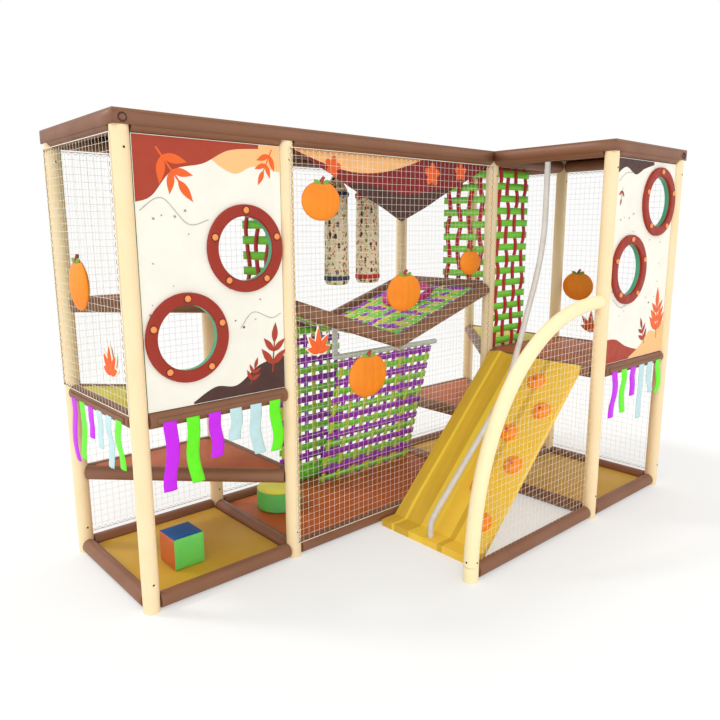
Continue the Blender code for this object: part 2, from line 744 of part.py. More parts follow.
def hanger(name, along):
    """A short link with a ball at each end."""
    upper = place(along, CELL / 2, ROOF_UNDERSIDE - BALL_RADIUS)
    lower = upper - Vector((0, 0, HANGER_LENGTH))
    neck = rod(name, lower, upper, HANGER_NECK, 8)
    balls = [ball(name, point, (BALL_RADIUS,) * 3, 8, 6) for point in (upper, lower)]
    return combine(neck, balls, "UNION")


def punch_bag(name, along):
    """A stuffed bag with a sewn cone on top and a thick ring at each end."""
    pivot = ROOF_UNDERSIDE - BALL_RADIUS - HANGER_LENGTH
    top = pivot - BALL_RADIUS - SEAT_GAP
    ring = BAG_RADIUS + BAG_RING_PROUD
    waist = BAG_RADIUS - BAG_RING_PROUD
    profile = [
        (0, top), (BALL_RADIUS, top), (waist, BAG_SHOULDER), (ring, BAG_SHOULDER - BAG_RING_PITCH),
        (waist, BAG_SHOULDER - 2 * BAG_RING_PITCH), (BAG_RADIUS, (BAG_SHOULDER + BAG_BOTTOM) / 2),
        (waist, BAG_BOTTOM + 2.5 * BAG_RING_PITCH), (ring, BAG_BOTTOM + 1.5 * BAG_RING_PITCH),
        (waist, BAG_BOTTOM + BAG_RING_PITCH / 2), (waist - BAG_RING_PITCH / 2, BAG_BOTTOM), (0, BAG_BOTTOM),
    ]
    return turned(name, place(along, CELL / 2, 0), profile, 16)


def floor_mat(name, low, high):
    """A mat that fills the space inside the base beams."""
    inset = Vector((BEAM_RADIUS + SEAT_GAP, BEAM_RADIUS + SEAT_GAP, 0))
    return block(name, spot(*low, SEAT_GAP) + inset, spot(*high, MAT_THICK) - inset)


def loose_cube(name):
    """A soft cube with rounded edges."""
    half = CUBE_SIDE / 2
    centre = place(CUBE_ALONG, CUBE_DEPTH, MAT_THICK + SEAT_GAP + half)
    item = block(name, centre - Vector((half,) * 3), centre + Vector((half,) * 3))
    rounding = item.modifiers.new("rounding", "BEVEL")
    rounding.width = TOY_ROUNDING
    rounding.segments = 2
    return bake(item)


def loose_drum(name):
    """A low padded stool."""
    base = MAT_THICK + SEAT_GAP
    top = base + DRUM_HEIGHT
    inner = DRUM_RADIUS - TOY_ROUNDING
    profile = [(0, base), (inner, base), (DRUM_RADIUS, base + TOY_ROUNDING),
               (DRUM_RADIUS, top - TOY_ROUNDING), (inner, top), (0, top)]
    return turned(name, place(DRUM_ALONG, DRUM_DEPTH, 0), profile, 20)


def ribbon_fringe(name, start, run, outward):
    """Wavy ribbons on a band that is fixed to the outside of a deck beam."""
    drops = RIBBON_DROPS[name]
    inset = BEAM_END + RIBBON_MARGIN
    length = CELL - 2 * inset
    first = start + run * inset + outward * (BEAM_RADIUS + SEAT_GAP + RIBBON_THICK / 2)
    middle = first + run * (length / 2)
    half = Vector((0, 0, RIBBON_HEADER / 2))
    header = strap(name, [middle + half, middle - half], run * length, RIBBON_THICK)
    ribbons = []
    for index, drop in enumerate(drops):
        where = first + run * (length * (index + 0.5) / len(drops))
        path = []
        for step in range(RIBBON_STEPS + 1):
            share = step / RIBBON_STEPS
            wave = RIBBON_WAVE * math.sin(1.5 * math.pi * share) * (-1) ** index
            swing = outward * max(wave, -RIBBON_WAVE / 2)
            path.append(where + swing - Vector((0, 0, drop * share)))
        ribbons.append(strap(name, path, run * RIBBON_WIDTH, RIBBON_THICK))
    return combine(header, ribbons, "UNION")


def pennant(name):
    """A three-cornered cloth with soft folds, hung under the roof of the middle bay."""
    builder = bmesh.new()
    half = CELL - BEAM_END - PENNANT_MARGIN
    upper = []
    lower = []
    for step in range(PENNANT_STEPS + 1):
        side = 2.0 * step / PENNANT_STEPS - 1.0
        fullness = 1 - abs(side)
        fold = PENNANT_FOLD * math.cos(math.pi * PENNANT_FOLDS * side) * fullness
        along = 2 * CELL + half * side
        drop = PENNANT_EDGE + (PENNANT_DROP - PENNANT_EDGE) * fullness
        upper.append(builder.verts.new(place(along, 0, ROOF_UNDERSIDE)))
        lower.append(builder.verts.new(place(along, fold, ROOF_UNDERSIDE - drop)))
    edges = [builder.edges.new(pair) for row in (upper, lower) for pair in zip(row, row[1:])]
    bmesh.ops.bridge_loops(builder, edges=edges)
    item = object_from(builder, name)
    shell = item.modifiers.new("thickness", "SOLIDIFY")
    shell.thickness = PENNANT_THICK
    shell.offset = 0.0
    return bake(item)


def arch_net(name):
    """The net between the arch, its base beam and the slide's front post."""
    reach = ARCH_REACH - BEAM_RADIUS - ARCH_NET_GAP
    high = ARCH_TOP - BEAM_RADIUS - ARCH_NET_GAP
    low = STUB_HEIGHT + SEAT_GAP
    right = 3 * CELL - BEAM_END

    def outline(margin):
        points = []
        for step in range(1, ARCH_STEPS):
            angle = math.pi / 2 * step / ARCH_STEPS
            along = 3 * CELL - (reach - margin) * math.cos(angle) ** (2 / ARCH_FULLNESS)
            level = (high - margin) * math.sin(angle) ** (2 / ARCH_FULLNESS)
            if level > low + margin and along < right - margin:
                points.append((along, level))
        corners = [(right - margin, high - margin), (right - margin, low + margin)]
        return [(points[0][0], low + margin)] + points + corners

    def slab(thickness, margin):
        rim = [place(x, -CELL - thickness / 2, z) for x, z in outline(margin)]
        return plate(name, rim, Vector((0, thickness, 0)))

    def bar(low_corner, high_corner):
        front = Vector((0, BEAM_RADIUS, 0))
        return block(name, place(low_corner[0], -CELL, low_corner[1]) - front,
                     place(high_corner[0], -CELL, high_corner[1]) + front)

    window = slab(3 * NET_CORD, NET_HEM)
    bars = []
    for index in range(1, ARCH_NET_BARS + 1):
        share = index / (ARCH_NET_BARS + 1)
        x = right - reach * (1 - share)
        z = low + (high - low) * share
        bars.append(bar((x - NET_HEM / 2, 0), (x + NET_HEM / 2, ROOF_LEVEL)))
        bars.append(bar((0, z - NET_HEM / 2), (3 * CELL, z + NET_HEM / 2)))
    window = combine(window, bars, "DIFFERENCE")
    return combine(slab(NET_CORD, 0.0), [window], "DIFFERENCE")


def roof_panel(name):
    """The L-shaped board on the roof frame."""
    base = ROOF_STUB_BOTTOM + STUB_HEIGHT + SEAT_GAP
    corners = [((0, 0), (-1, -1)), ((3, 0), (-1, -1)), ((3, -1), (-1, -1)), ((4, -1), (1, -1)),
               ((4, 1), (1, 1)), ((0, 1), (-1, 1))]
    outline = [spot(*corner, base) + Vector((*side, 0)) * POST_RADIUS for corner, side in corners]
    return plate(name, outline, Vector((0, 0, ROOF_PANEL_THICK)))


def build_frame(keep):
    """Posts, base frame, roof frame and roof panel."""
    for name, (column, row) in POSTS.items():
        keep(rod(name, spot(column, row, STUB_HEIGHT + SEAT_GAP),
                 spot(column, row, ROOF_STUB_BOTTOM - SEAT_GAP), POST_RADIUS, POST_SIDES), "cream_foam")
    grid_points = [spot(*where) for where in POSTS.values()]
    foot = place(3 * CELL - ARCH_REACH, -CELL, 0)
    runs = [(spot(*start), spot(*end)) for start, end in FRAME_RUNS]
    keep(tube_frame("base_frame", runs, STUB_HEIGHT / 2, grid_points + [foot],
                    [(foot, spot(3, -1))]), "brown_foam")
    bag_bar = (place(CELL, CELL / 2, 0), place(3 * CELL, CELL / 2, 0))
    keep(tube_frame("roof_frame", runs, ROOF_LEVEL, grid_points, [bag_bar]), "brown_foam")
    keep(roof_panel("roof_panel"), "brown_foam")


def build_decks(keep):
    """Step decks, platform and floor mats."""
    keep(padded_deck("step_deck_left_low", [(0, 1), (1, 1), (1, 0)], STEP_RISE), "orange_deck")
    keep(padded_deck("step_deck_left_middle", [(0, 0), (1, 0), (0, 1)], 2 * STEP_RISE), "yellow_deck")
    high_deck = padded_deck("step_deck_left_high", [(0, 1), (1, 1), (1, 0)], 3 * STEP_RISE)
    keep(combine(high_deck, [panel_clearance("step_deck_left_high")], "DIFFERENCE"), "orange_deck")
    keep(padded_deck("step_deck_right_low", [(3, 1), (4, 1), (3, 0)], STEP_RISE), "orange_deck")
    keep(padded_deck("step_deck_right_middle", [(4, 1), (4, 0), (3, 0)], 2 * STEP_RISE,
                     shared={(3, 0), (4, 0)}), "yellow_deck")
    keep(padded_deck("platform_right", [(3, -1), (4, -1), (4, 0), (3, 0)], 2 * STEP_RISE), "orange_deck")
    keep(floor_mat("mat_left", (0, 0), (1, 1)), "ochre_mat")
    keep(floor_mat("mat_middle", (1, 0), (3, 1)), "orange_deck")
    keep(floor_mat("mat_right_back", (3, 0), (4, 1)), "ochre_mat")
    keep(floor_mat("mat_right_front", (3, -1), (4, 0)), "ochre_mat")


def build_panels(keep):
    """Front panels with their portholes."""
    inset = BEAM_END + PORTHOLE_MARGIN + PORTHOLE_OUTER
    left = [place(inset, 0, LEFT_LOW_LEVEL), place(CELL - inset, 0, LEFT_HIGH_LEVEL)]
    right = [place(3 * CELL + inset, -CELL, RIGHT_LOW_LEVEL),
             place(4 * CELL - inset, -CELL, RIGHT_HIGH_LEVEL)]
    keep(front_panel("panel_left", (0, 0), (1, 0), left), "board_white")
    keep(front_panel("panel_right", (3, -1), (4, -1), right), "board_white")
    keep(porthole("porthole_left_low", left[0]), "ring_red")
    keep(porthole("porthole_left_high", left[1]), "ring_red")
    keep(porthole("porthole_right_low", right[0]), "ring_red")
    keep(porthole("porthole_right_high", right[1]), "ring_red")


def build_crawl_deck(keep):
    """The V-shaped crawl deck and the woven wall under it."""
    keep(crawl_rail("crawl_rail_front", 0), "brown_foam")
    keep(crawl_rail("crawl_rail_back", 1), "brown_foam")
    keep(beam("crawl_end_beam", (3, 0), (3, 1), 3 * STEP_RISE), "brown_foam")
    keep(crawl_weave("crawl_weave"), "strap_purple")
    keep(crawl_ring("crawl_ring"), "ring_magenta")
    keep(wall_pipe("wall_pipe"), "pipe_grey")
    keep(wall_weave("wall_weave"), "strap_purple")
    keep(rear_weave("rear_weave"), "strap_purple")


def build_hanging(keep):
    """Curtains, pennant, ribbons and punch bags."""
    right = Vector((1, 0, 0))
    back = Vector((0, 1, 0))
    seat = BEAM_RADIUS + SEAT_GAP
    keep(curtain("curtain_platform", spot(3, 0), right, 2 * STEP_RISE + seat), "strap_red")
    keep(curtain("curtain_crawl", spot(3, 0), back, 3 * STEP_RISE + seat), "strap_red")
    keep(curtain("curtain_step", spot(1, 0), back, 3 * STEP_RISE + seat), "strap_red")
    keep(pennant("pennant"), "pennant_peach")
    deck = 2 * STEP_RISE
    keep(ribbon_fringe("ribbons_left", spot(0, 0, deck), back, -right), "ribbon_purple")
    keep(ribbon_fringe("ribbons_front", spot(0, 0, deck), right, -back), "ribbon_purple")
    keep(ribbon_fringe("ribbons_right", spot(3, -1, deck), right, -back), "ribbon_purple")
    for side, along in (("left", CELL + BAG_OFFSET), ("right", CELL + BAG_OFFSET + BAG_SPACING)):
        keep(hanger("bag_hanger_" + side, along), "hanger_steel")
        keep(punch_bag("punch_bag_" + side, along), "bag_cream")


def build_slide_bay(keep):
    """Slide, climbing ramp, handrail and arch."""
    keep(slide_bed("slide_bed"), "slide_yellow")
    keep(climbing_ramp("climbing_ramp"), "climb_ochre")
    keep(handrail("handrail"), "pipe_grey")
    keep(arch_tube("arch_tube"), "arch_cream")


def build_nets(keep):
    """Safety nets on the outside of the posts, and the one in the arch."""
    low = STUB_HEIGHT + SEAT_GAP
    deck = 2 * STEP_RISE + BEAM_RADIUS
    full = Vector((0, 0, ROOF_STUB_BOTTOM - low))
    upper = Vector((0, 0, ROOF_STUB_BOTTOM - deck))
    out_x = Vector((POST_RADIUS + SEAT_GAP, 0, 0))
    out_y = Vector((0, POST_RADIUS + SEAT_GAP, 0))
    right = Vector((CELL, 0, 0))
    back = Vector((0, CELL, 0))
    side_beam = Vector((BEAM_RADIUS + SEAT_GAP, 0, 0))
    keep(net("net_back", spot(4, 1, low) + out_y, -4 * right, full, (10, 6)), "net_cord")
    keep(net("net_left", spot(0, 1, deck) - out_x, -back, upper, (4, 4)), "net_cord")
    keep(net("net_right", spot(4, -1, low) + out_x, 2 * back, full, (5, 6)), "net_cord")
    keep(net("net_middle", spot(1, 0, low) - out_y, 2 * right - side_beam, full, (5, 6)), "net_cord")
    keep(arch_net("net_arch"), "net_cord")


def main():
    """Build every piece."""
    clear_scene()
    parts = make_collection("play_maze")
    materials = {name: make_material(name, *values) for name, values in COLOURS.items()}

    def keep(item, finish):
        """Move a finished piece to the parts collection with its material."""
        for collection in list(item.users_collection):
            collection.objects.unlink(item)
        parts.objects.link(item)
        item.name = item.name.split(".")[0]
        item.data.name = item.name
        item.data.materials.clear()
        item.data.materials.append(materials[finish])
        item.data.shade_smooth()
        item.data.set_sharp_from_angle(angle=math.radians(35))

    build_frame(keep)
    build_decks(keep)
    build_panels(keep)
    build_crawl_deck(keep)
    build_hanging(keep)
    build_slide_bay(keep)
    keep(loose_cube("loose_cube"), "cube_blue")
    keep(loose_drum("loose_drum"), "drum_green")
    build_nets(keep)


main()
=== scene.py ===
"""Looks of the indoor play maze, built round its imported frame.

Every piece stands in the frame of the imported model: metres, +Z up, the middle of the
footprint at the origin.
"""
import logging
import math
import random
from collections.abc import Callable, Iterable, Sequence
from dataclasses import dataclass
from enum import Enum
from typing import Any

import bmesh
import bpy
from bmesh.types import BMEdge, BMFace, BMVert
from bpy.types import Material, Node, NodeSocket, NodeTree
from mathutils import Matrix, Vector, noise


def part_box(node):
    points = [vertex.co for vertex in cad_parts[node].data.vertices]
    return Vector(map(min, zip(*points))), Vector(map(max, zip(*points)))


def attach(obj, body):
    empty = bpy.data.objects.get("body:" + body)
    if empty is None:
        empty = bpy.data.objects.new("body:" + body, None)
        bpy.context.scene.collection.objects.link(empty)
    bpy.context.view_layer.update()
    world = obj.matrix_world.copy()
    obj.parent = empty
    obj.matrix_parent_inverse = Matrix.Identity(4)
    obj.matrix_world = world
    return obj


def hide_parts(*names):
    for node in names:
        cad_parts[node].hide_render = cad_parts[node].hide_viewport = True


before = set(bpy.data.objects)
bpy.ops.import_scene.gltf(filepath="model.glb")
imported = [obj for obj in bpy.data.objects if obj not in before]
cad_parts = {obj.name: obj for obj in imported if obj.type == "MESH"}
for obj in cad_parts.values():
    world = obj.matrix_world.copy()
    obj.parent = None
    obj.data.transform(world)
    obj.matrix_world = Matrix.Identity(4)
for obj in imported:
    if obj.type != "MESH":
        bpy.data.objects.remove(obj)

log = logging.getLogger("play_maze")

UP = Vector((0, 0, 1))
RIGHT = Vector((1, 0, 0))
BACK = Vector((0, 1, 0))

CELL = 0.90
LEFT_EDGE = -1.79675
MAIN_FRONT = 0.00325
DECK_RISE = 0.50
ROOF_LEVEL = 2.39
POST_RADIUS = 0.044
BEAM_RADIUS = 0.0425
SEAT = 0.0003
STUB_HEIGHT = 0.09
EDGE_STEPS = 3
ROOF_UNDERSIDE = ROOF_LEVEL - BEAM_RADIUS - SEAT
BEAM_END = POST_RADIUS + SEAT
SLIDE_TURN = 42  # degrees, so that the painted highlight streaks run down the slide

POSTS = {
    "post_left_front": (0, 0), "post_left_back": (0, 1), "post_bay_front": (1, 0),
    "post_bay_back": (1, 1), "post_middle_front": (3, 0), "post_middle_back": (3, 1),
    "post_slide_front": (3, -1), "post_right_front": (4, -1), "post_right_middle": (4, 0),
    "post_right_back": (4, 1),
}

LOOPED = ((0, 0), (4, -1))

# the roof's corners in turn: the post at each, and the way out from it
ROOF_CORNERS = (
    ((0, 0), -1, -1), ((3, 0), -1, -1), ((3, -1), -1, -1), ((4, -1), 1, -1), ((4, 1), 1, 1),
    ((0, 1), -1, 1), ((0, 0), -1, -1),
)

RUNS = (
    ((0, 0), (1, 0)), ((1, 0), (3, 0)), ((3, 0), (4, 0)), ((0, 1), (1, 1)), ((1, 1), (3, 1)),
    ((3, 1), (4, 1)), ((3, -1), (4, -1)), ((0, 0), (0, 1)), ((1, 0), (1, 1)), ((3, -1), (3, 0)),
    ((3, 0), (3, 1)), ((4, -1), (4, 0)), ((4, 0), (4, 1)),
)

FIGURES = (
    ("net_middle", 1, -BACK, "gourd", ((-0.695, 2.071, 0.135, 0.80), (-0.344, 1.029, 0.155, 0.88),
                                       (0.616, 1.689, 0.105, 0.82), (-0.033, 1.523, 0.150, 0.80))),
    ("net_middle", 1, -BACK, "plaque", ((-0.732, 1.275, 0.085, 1.24),)),
    ("net_left", 0, -RIGHT, "gourd", ((0.505, 1.639, 0.120, 1.10),)),
    ("net_left", 0, -RIGHT, "plaque", ((0.155, 1.279, 0.085, 1.24),)),
    ("net_right", 0, -RIGHT, "gourd", ((-0.167, 1.458, 0.135, 0.84),)),
    ("net_right", 0, -RIGHT, "plaque", ((-0.300, 1.170, 0.085, 1.24),)),
)


class Shade(Enum):
    """Colours as sRGB hex values."""

    POST = "FBE3B8"
    # the *_WEAR_AND_SHADE colours darken vinyl in soft handling clouds and, as painted shade, in its grain's
    # pores
    POST_WEAR_AND_SHADE = "F3D5A2"
    BEAM = "8A5B3E"
    BEAM_WEAR_AND_SHADE = "774A33"
    OCHRE = "D3A52B"
    OCHRE_WEAR_AND_SHADE = "BF9220"
    ORANGE_DECK = "C8601C"
    ORANGE_DECK_WEAR_AND_SHADE = "AC5822"
    YELLOW_DECK = "D9D33C"
    BOARD = "F6F4E8"
    TEAL = "57B08A"
    RING = "9C2408"
    BUTTON = "FF9A50"
    PURPLE = "B236DE"
    GREEN = "8CF63C"
    STRAP_YELLOW = "F8F050"
    RED = "D2141C"
    MAGENTA = "DB2496"
    PIPE = "DCE9EE"
    SLIDE = "FFDA42"
    # SLIDE_DARK: the slide's painted-shade bands, and the darker clouds and painted highlight streaks on the
    # yellow
    SLIDE_DARK = "E4B830"
    RAMP = "FBCE40"
    ARCH = "FDEFBE"
    BAG = "F2E6C4"
    NAVY = "2A3A66"
    NET = "F4F0E2"
    RIBBON_PURPLE = "CE06F4"
    RIBBON_GREEN = "66F800"
    RIBBON_BLUE = "C4E6EA"
    PEACH = "FFC382"
    MAROON = "86181A"
    RUST = "AE3B20"
    DARK_BROWN = "4D2A24"
    LEAF = "F2621A"
    PUMPKIN = "FF9400"
    PUMPKIN_DARK = "D9680A"
    CUBE_BLUE = "0C5AA0"
    CUBE_GREEN = "70DC54"
    CUBE_ORANGE = "CE6A2C"
    BLACK = "1E1B1A"
    LINE_GREY = "9A9892"
    STEEL = "B7B9BC"
    OLIVE = "7F9438"
    LIME = "D6F250"
    RAIL = "DDD6D0"


def linear(shade: Shade) -> tuple[float, float, float, float]:
    """Turn a shade into linear colour.

    Args:
        shade: The colour as an sRGB hex value.

    Returns:
        Red, green, blue and alpha.
    """
    levels = [int(shade.value[at:at + 2], 16) / 255 for at in (0, 2, 4)]
    red, green, blue = [x / 12.92 if x <= 0.04045 else ((x + 0.055) / 1.055) ** 2.4 for x in levels]
    return red, green, blue, 1.0


def deeper(shade: Shade, factor: float) -> tuple[float, float, float, float]:
    """Turn a shade into linear colour and multiply its red, green and blue."""
    red, green, blue, alpha = linear(shade)
    return red * factor, green * factor, blue * factor, alpha


def add(tree: NodeTree, kind: str, inputs: dict[Any, Any] | None = None,
        **settings: Any) -> Node:
    """Add a node with its settings, values and links.

    Args:
        tree: The node tree.
        kind: The node's type, after its ShaderNode.
        inputs: For each input, by name or number, a value, a socket or a node to link from.
        settings: The node's own settings.

    Returns:
        The node.
    """
    node = tree.nodes.new("ShaderNode" + kind)
    for name, value in settings.items():
        setattr(node, name, value)
    for name, value in (inputs or {}).items():
        if isinstance(value, Node):
            value = value.outputs[0]
        if isinstance(value, NodeSocket):
            tree.links.new(value, node.inputs[name])
        else:
            node.inputs[name].default_value = value
    return node


def blank(name: str, **values: Any) -> tuple[Material, NodeTree, Node]:
    """Make a material with its Principled shader.

    Args:
        name: The material's name.
        values: Constant values of the shader's sockets, with _ for a space.

    Returns:
        The material, its node tree and its shader.
    """
    material = bpy.data.materials.new(name)
    material.use_nodes = True
    tree = material.node_tree
    shader = tree.nodes["Principled BSDF"]
    for key, value in values.items():
        shader.inputs[key.replace("_", " ")].default_value = value
    return material, tree, shader


def wire(tree: NodeTree, shader: Node, colour: NodeSocket, skin: Node, shine: Node | None = None) -> None:
    """Link what varies over a surface to its shader.

    Args:
        tree: The node tree.
        shader: The Principled shader.
        colour: Its colour.
        skin: Its relief.
        shine: Its roughness, or None where that is even.
    """
    tree.links.new(colour, shader.inputs["Base Color"])
    tree.links.new(skin.outputs[0], shader.inputs["Normal"])
    if shine:
        tree.links.new(shine.outputs[0], shader.inputs["Roughness"])


def per_metre(millimetres: float) -> float:
    """Scale of a noise whose features are this wide."""
    return 1000.0 / millimetres


def wave_scale(millimetres: float) -> float:
    """Scale of a band wave that repeats at this pitch."""
    return math.pi / 10 * per_metre(millimetres)


@dataclass(frozen=True)
class Vinyl:
    """PVC-coated cloth, calendered with a leather grain and drawn tight over foam.

    The grain breaks its shine up, its pores are drawn darker as painted shade, handling leaves soft
    darker clouds, and the cloth puckers slightly where it is pulled round.
    """

    name: str
    shade: Shade
    # colour of the handling clouds and of the painted shade in the grain's pores
    wear_and_pore_shade: Shade
    roughness: float = 0.56
    grain: float = 2.6  # the real grain is about 1 mm and would not show
    pucker: float = 0.0012

    def material(self) -> Material:
        """Build the material.

        Returns:
            The material.
        """
        material, tree, shader = blank(self.name, IOR=1.53)
        place = add(tree, "TexCoord").outputs["Object"]
        cloud = add(tree, "TexNoise", {"Vector": place, "Scale": per_metre(260), "Detail": 4.0})
        patch = add(tree, "MapRange", {"Value": cloud, "From Min": 0.42, "From Max": 0.78, "To Max": 0.40})
        grain = add(tree, "TexVoronoi", {"Vector": place, "Scale": per_metre(self.grain)},
                    feature="DISTANCE_TO_EDGE")
        height = grain.outputs["Distance"]
        # painted shade: the grain's pores are drawn darker towards that colour
        pore_shade = add(tree, "MapRange", {"Value": height, "From Max": 0.16, "To Min": 0.25, "To Max": 0.0})
        tint = add(tree, "Math", {0: patch, 1: pore_shade}, operation="ADD", use_clamp=True)
        colour = add(tree, "Mix", {0: tint, 6: linear(self.shade), 7: linear(self.wear_and_pore_shade)}, data_type="RGBA")
        shine = add(tree, "MapRange", {
            "Value": cloud, "From Min": 0.3, "From Max": 0.7, "To Min": self.roughness - 0.06,
            "To Max": self.roughness + 0.08})
        pull = add(tree, "TexNoise", {
            "Vector": place, "Scale": per_metre(55), "Detail": 2.0, "Distortion": 0.6})
        fold = add(tree, "Bump", {"Height": pull, "Strength": 0.5, "Distance": self.pucker})
        skin = add(tree, "Bump", {"Height": height, "Strength": 0.35, "Distance": 0.0006, "Normal": fold})
        wire(tree, shader, colour.outputs[2], skin, shine)
        return material


@dataclass(frozen=True)
class Webbing:
    """Polypropylene strap, woven flat with fine ribs across it."""

    name: str
    shade: Shade
    rib: float = 5.0  # the real ribs are about 1.5 mm apart and would not show
    # painted shade: darkest share in the grooves between the woven threads
    weave_groove_shade: float = 0.16
    roughness: float = 0.62

    def material(self) -> Material:
        """Build the material.

        Returns:
            The material.
        """
        material, tree, shader = blank(self.name, IOR=1.49, Sheen_Weight=0.1, Sheen_Roughness=0.5,
            Roughness=self.roughness)
        cloth = add(tree, "UVMap", uv_map="Cloth")
        ribs = add(tree, "TexWave", {"Vector": cloth, "Scale": wave_scale(self.rib), "Distortion": 0.4},
                   bands_direction="Y")
        warp = add(tree, "TexWave", {"Vector": cloth, "Scale": wave_scale(self.rib * 0.8)},
                   bands_direction="X")
        thread = add(tree, "Math", {0: ribs.outputs["Fac"], 1: warp.outputs["Fac"]}, operation="MULTIPLY")
        place = add(tree, "TexCoord").outputs["Object"]
        fade = add(tree, "TexNoise", {"Vector": place, "Scale": per_metre(90), "Detail": 3.0})
        # painted shade: darker where the threads dip, following the bump below
        depth = add(tree, "MapRange", {"Value": thread, "To Min": self.weave_groove_shade, "To Max": 0.0})
        wear = add(tree, "MapRange", {"Value": fade, "From Min": 0.35, "From Max": 0.75, "To Max": 0.10})
        tint = add(tree, "Math", {0: depth, 1: wear}, operation="ADD", use_clamp=True)
        colour = add(tree, "Mix", {0: tint, 6: linear(self.shade), 7: deeper(self.shade, 0.45)},
            data_type="RGBA")
        skin = add(tree, "Bump", {"Height": thread, "Strength": 0.5, "Distance": 0.0008})
        wire(tree, shader, colour.outputs[2], skin)
        return material


@dataclass(frozen=True)
class Satin:
    """Polyester satin ribbon cloth, woven fine: a soft sheen and faint lengthwise threads."""

    name: str
    shade: Shade
    thread: float = 3.0  # the real threads are finer than 0.3 mm and would not show
    roughness: float = 0.5

    def material(self) -> Material:
        """Build the material.

        Returns:
            The material.
        """
        material, tree, shader = blank(self.name, IOR=1.5, Sheen_Weight=0.08, Sheen_Roughness=0.35,
            Roughness=self.roughness)
        cloth = add(tree, "UVMap", uv_map="Cloth")
        thread = add(tree, "TexWave",
            {"Vector": cloth, "Scale": wave_scale(self.thread), "Distortion": 1.5, "Detail": 2.0},
            bands_direction="X")
        cloud = add(tree, "TexNoise", {"Vector": cloth, "Scale": per_metre(70), "Detail": 3.0})
        tint = add(tree, "MapRange", {"Value": cloud, "From Min": 0.3, "From Max": 0.75, "To Max": 0.5})
        colour = add(tree, "Mix", {0: tint, 6: linear(self.shade), 7: deeper(self.shade, 0.72)},
            data_type="RGBA")
        skin = add(tree, "Bump", {"Height": thread.outputs["Fac"], "Strength": 0.25, "Distance": 0.0004})
        wire(tree, shader, colour.outputs[2], skin)
        return material


@dataclass(frozen=True)
class Moulded:
    """Polyethylene, rotation moulded: a soft orange-peel skin, scuffed dull where it is used."""

    name: str
    shade: Shade
    dark: Shade
    roughness: float = 0.38
    peel: float = 4.0
    highlight_streak: float = 0.0

    def material(self) -> Material:
        """Build the material.

        Returns:
            The material.
        """
        material, tree, shader = blank(self.name, IOR=1.51)
        place = add(tree, "TexCoord").outputs["Object"]
        peel = add(tree, "TexNoise", {"Vector": place, "Scale": per_metre(self.peel)})
        scuff = add(tree, "TexNoise", {"Vector": place, "Scale": per_metre(45), "Detail": 5.0})
        cloud = add(tree, "TexNoise", {"Vector": place, "Scale": per_metre(240), "Detail": 3.0})
        # painted highlight: lengthwise streaks, lighter between darker ones, run down the slide
        along = add(tree, "Mapping", {
            "Vector": place, "Rotation": (0, math.radians(SLIDE_TURN), 0), "Scale": (1.2, 16.0, 1.2)})
        highlight_streak = add(tree, "TexNoise", {"Vector": along, "Scale": 2.2, "Detail": 3.0})
        band = add(tree, "MapRange", {
            "Value": highlight_streak, "From Min": 0.45, "From Max": 0.62, "To Max": self.highlight_streak})
        patch = add(tree, "MapRange", {"Value": cloud, "From Min": 0.4, "From Max": 0.8, "To Max": 0.25})
        tint = add(tree, "Math", {0: band, 1: patch}, operation="ADD", use_clamp=True)
        colour = add(tree, "Mix", {0: tint, 6: linear(self.shade), 7: linear(self.dark)}, data_type="RGBA")
        shine = add(tree, "MapRange", {
            "Value": scuff, "From Min": 0.35, "From Max": 0.7, "To Min": self.roughness,
            "To Max": self.roughness + 0.2})
        skin = add(tree, "Bump", {"Height": peel, "Strength": 0.2, "Distance": 0.0005})
        wire(tree, shader, colour.outputs[2], skin, shine)
        return material


@dataclass(frozen=True)
class Coated:
    """Powder-coated steel: an even, slightly pebbled skin with fine grey wear."""

    name: str
    shade: Shade
    metallic: float = 0.0
    roughness: float = 0.36
    pebble: float = 3.0

    def material(self) -> Material:
        """Build the material.

        Returns:
            The material.
        """
        material, tree, shader = blank(self.name, Metallic=self.metallic)
        place = add(tree, "TexCoord").outputs["Object"]
        pebble = add(tree, "TexNoise", {"Vector": place, "Scale": per_metre(self.pebble)})
        wear = add(tree, "TexNoise", {"Vector": place, "Scale": per_metre(60), "Detail": 5.0})
        tint = add(tree, "MapRange", {"Value": wear, "From Min": 0.45, "From Max": 0.75, "To Max": 0.5})
        colour = add(tree, "Mix", {0: tint, 6: linear(self.shade), 7: deeper(self.shade, 0.7)},
            data_type="RGBA")
        shine = add(tree, "MapRange", {
            "Value": wear, "To Min": self.roughness - 0.05, "To Max": self.roughness + 0.15})
        skin = add(tree, "Bump", {"Height": pebble, "Strength": 0.15, "Distance": 0.0003})
        wire(tree, shader, colour.outputs[2], skin, shine)
        return material


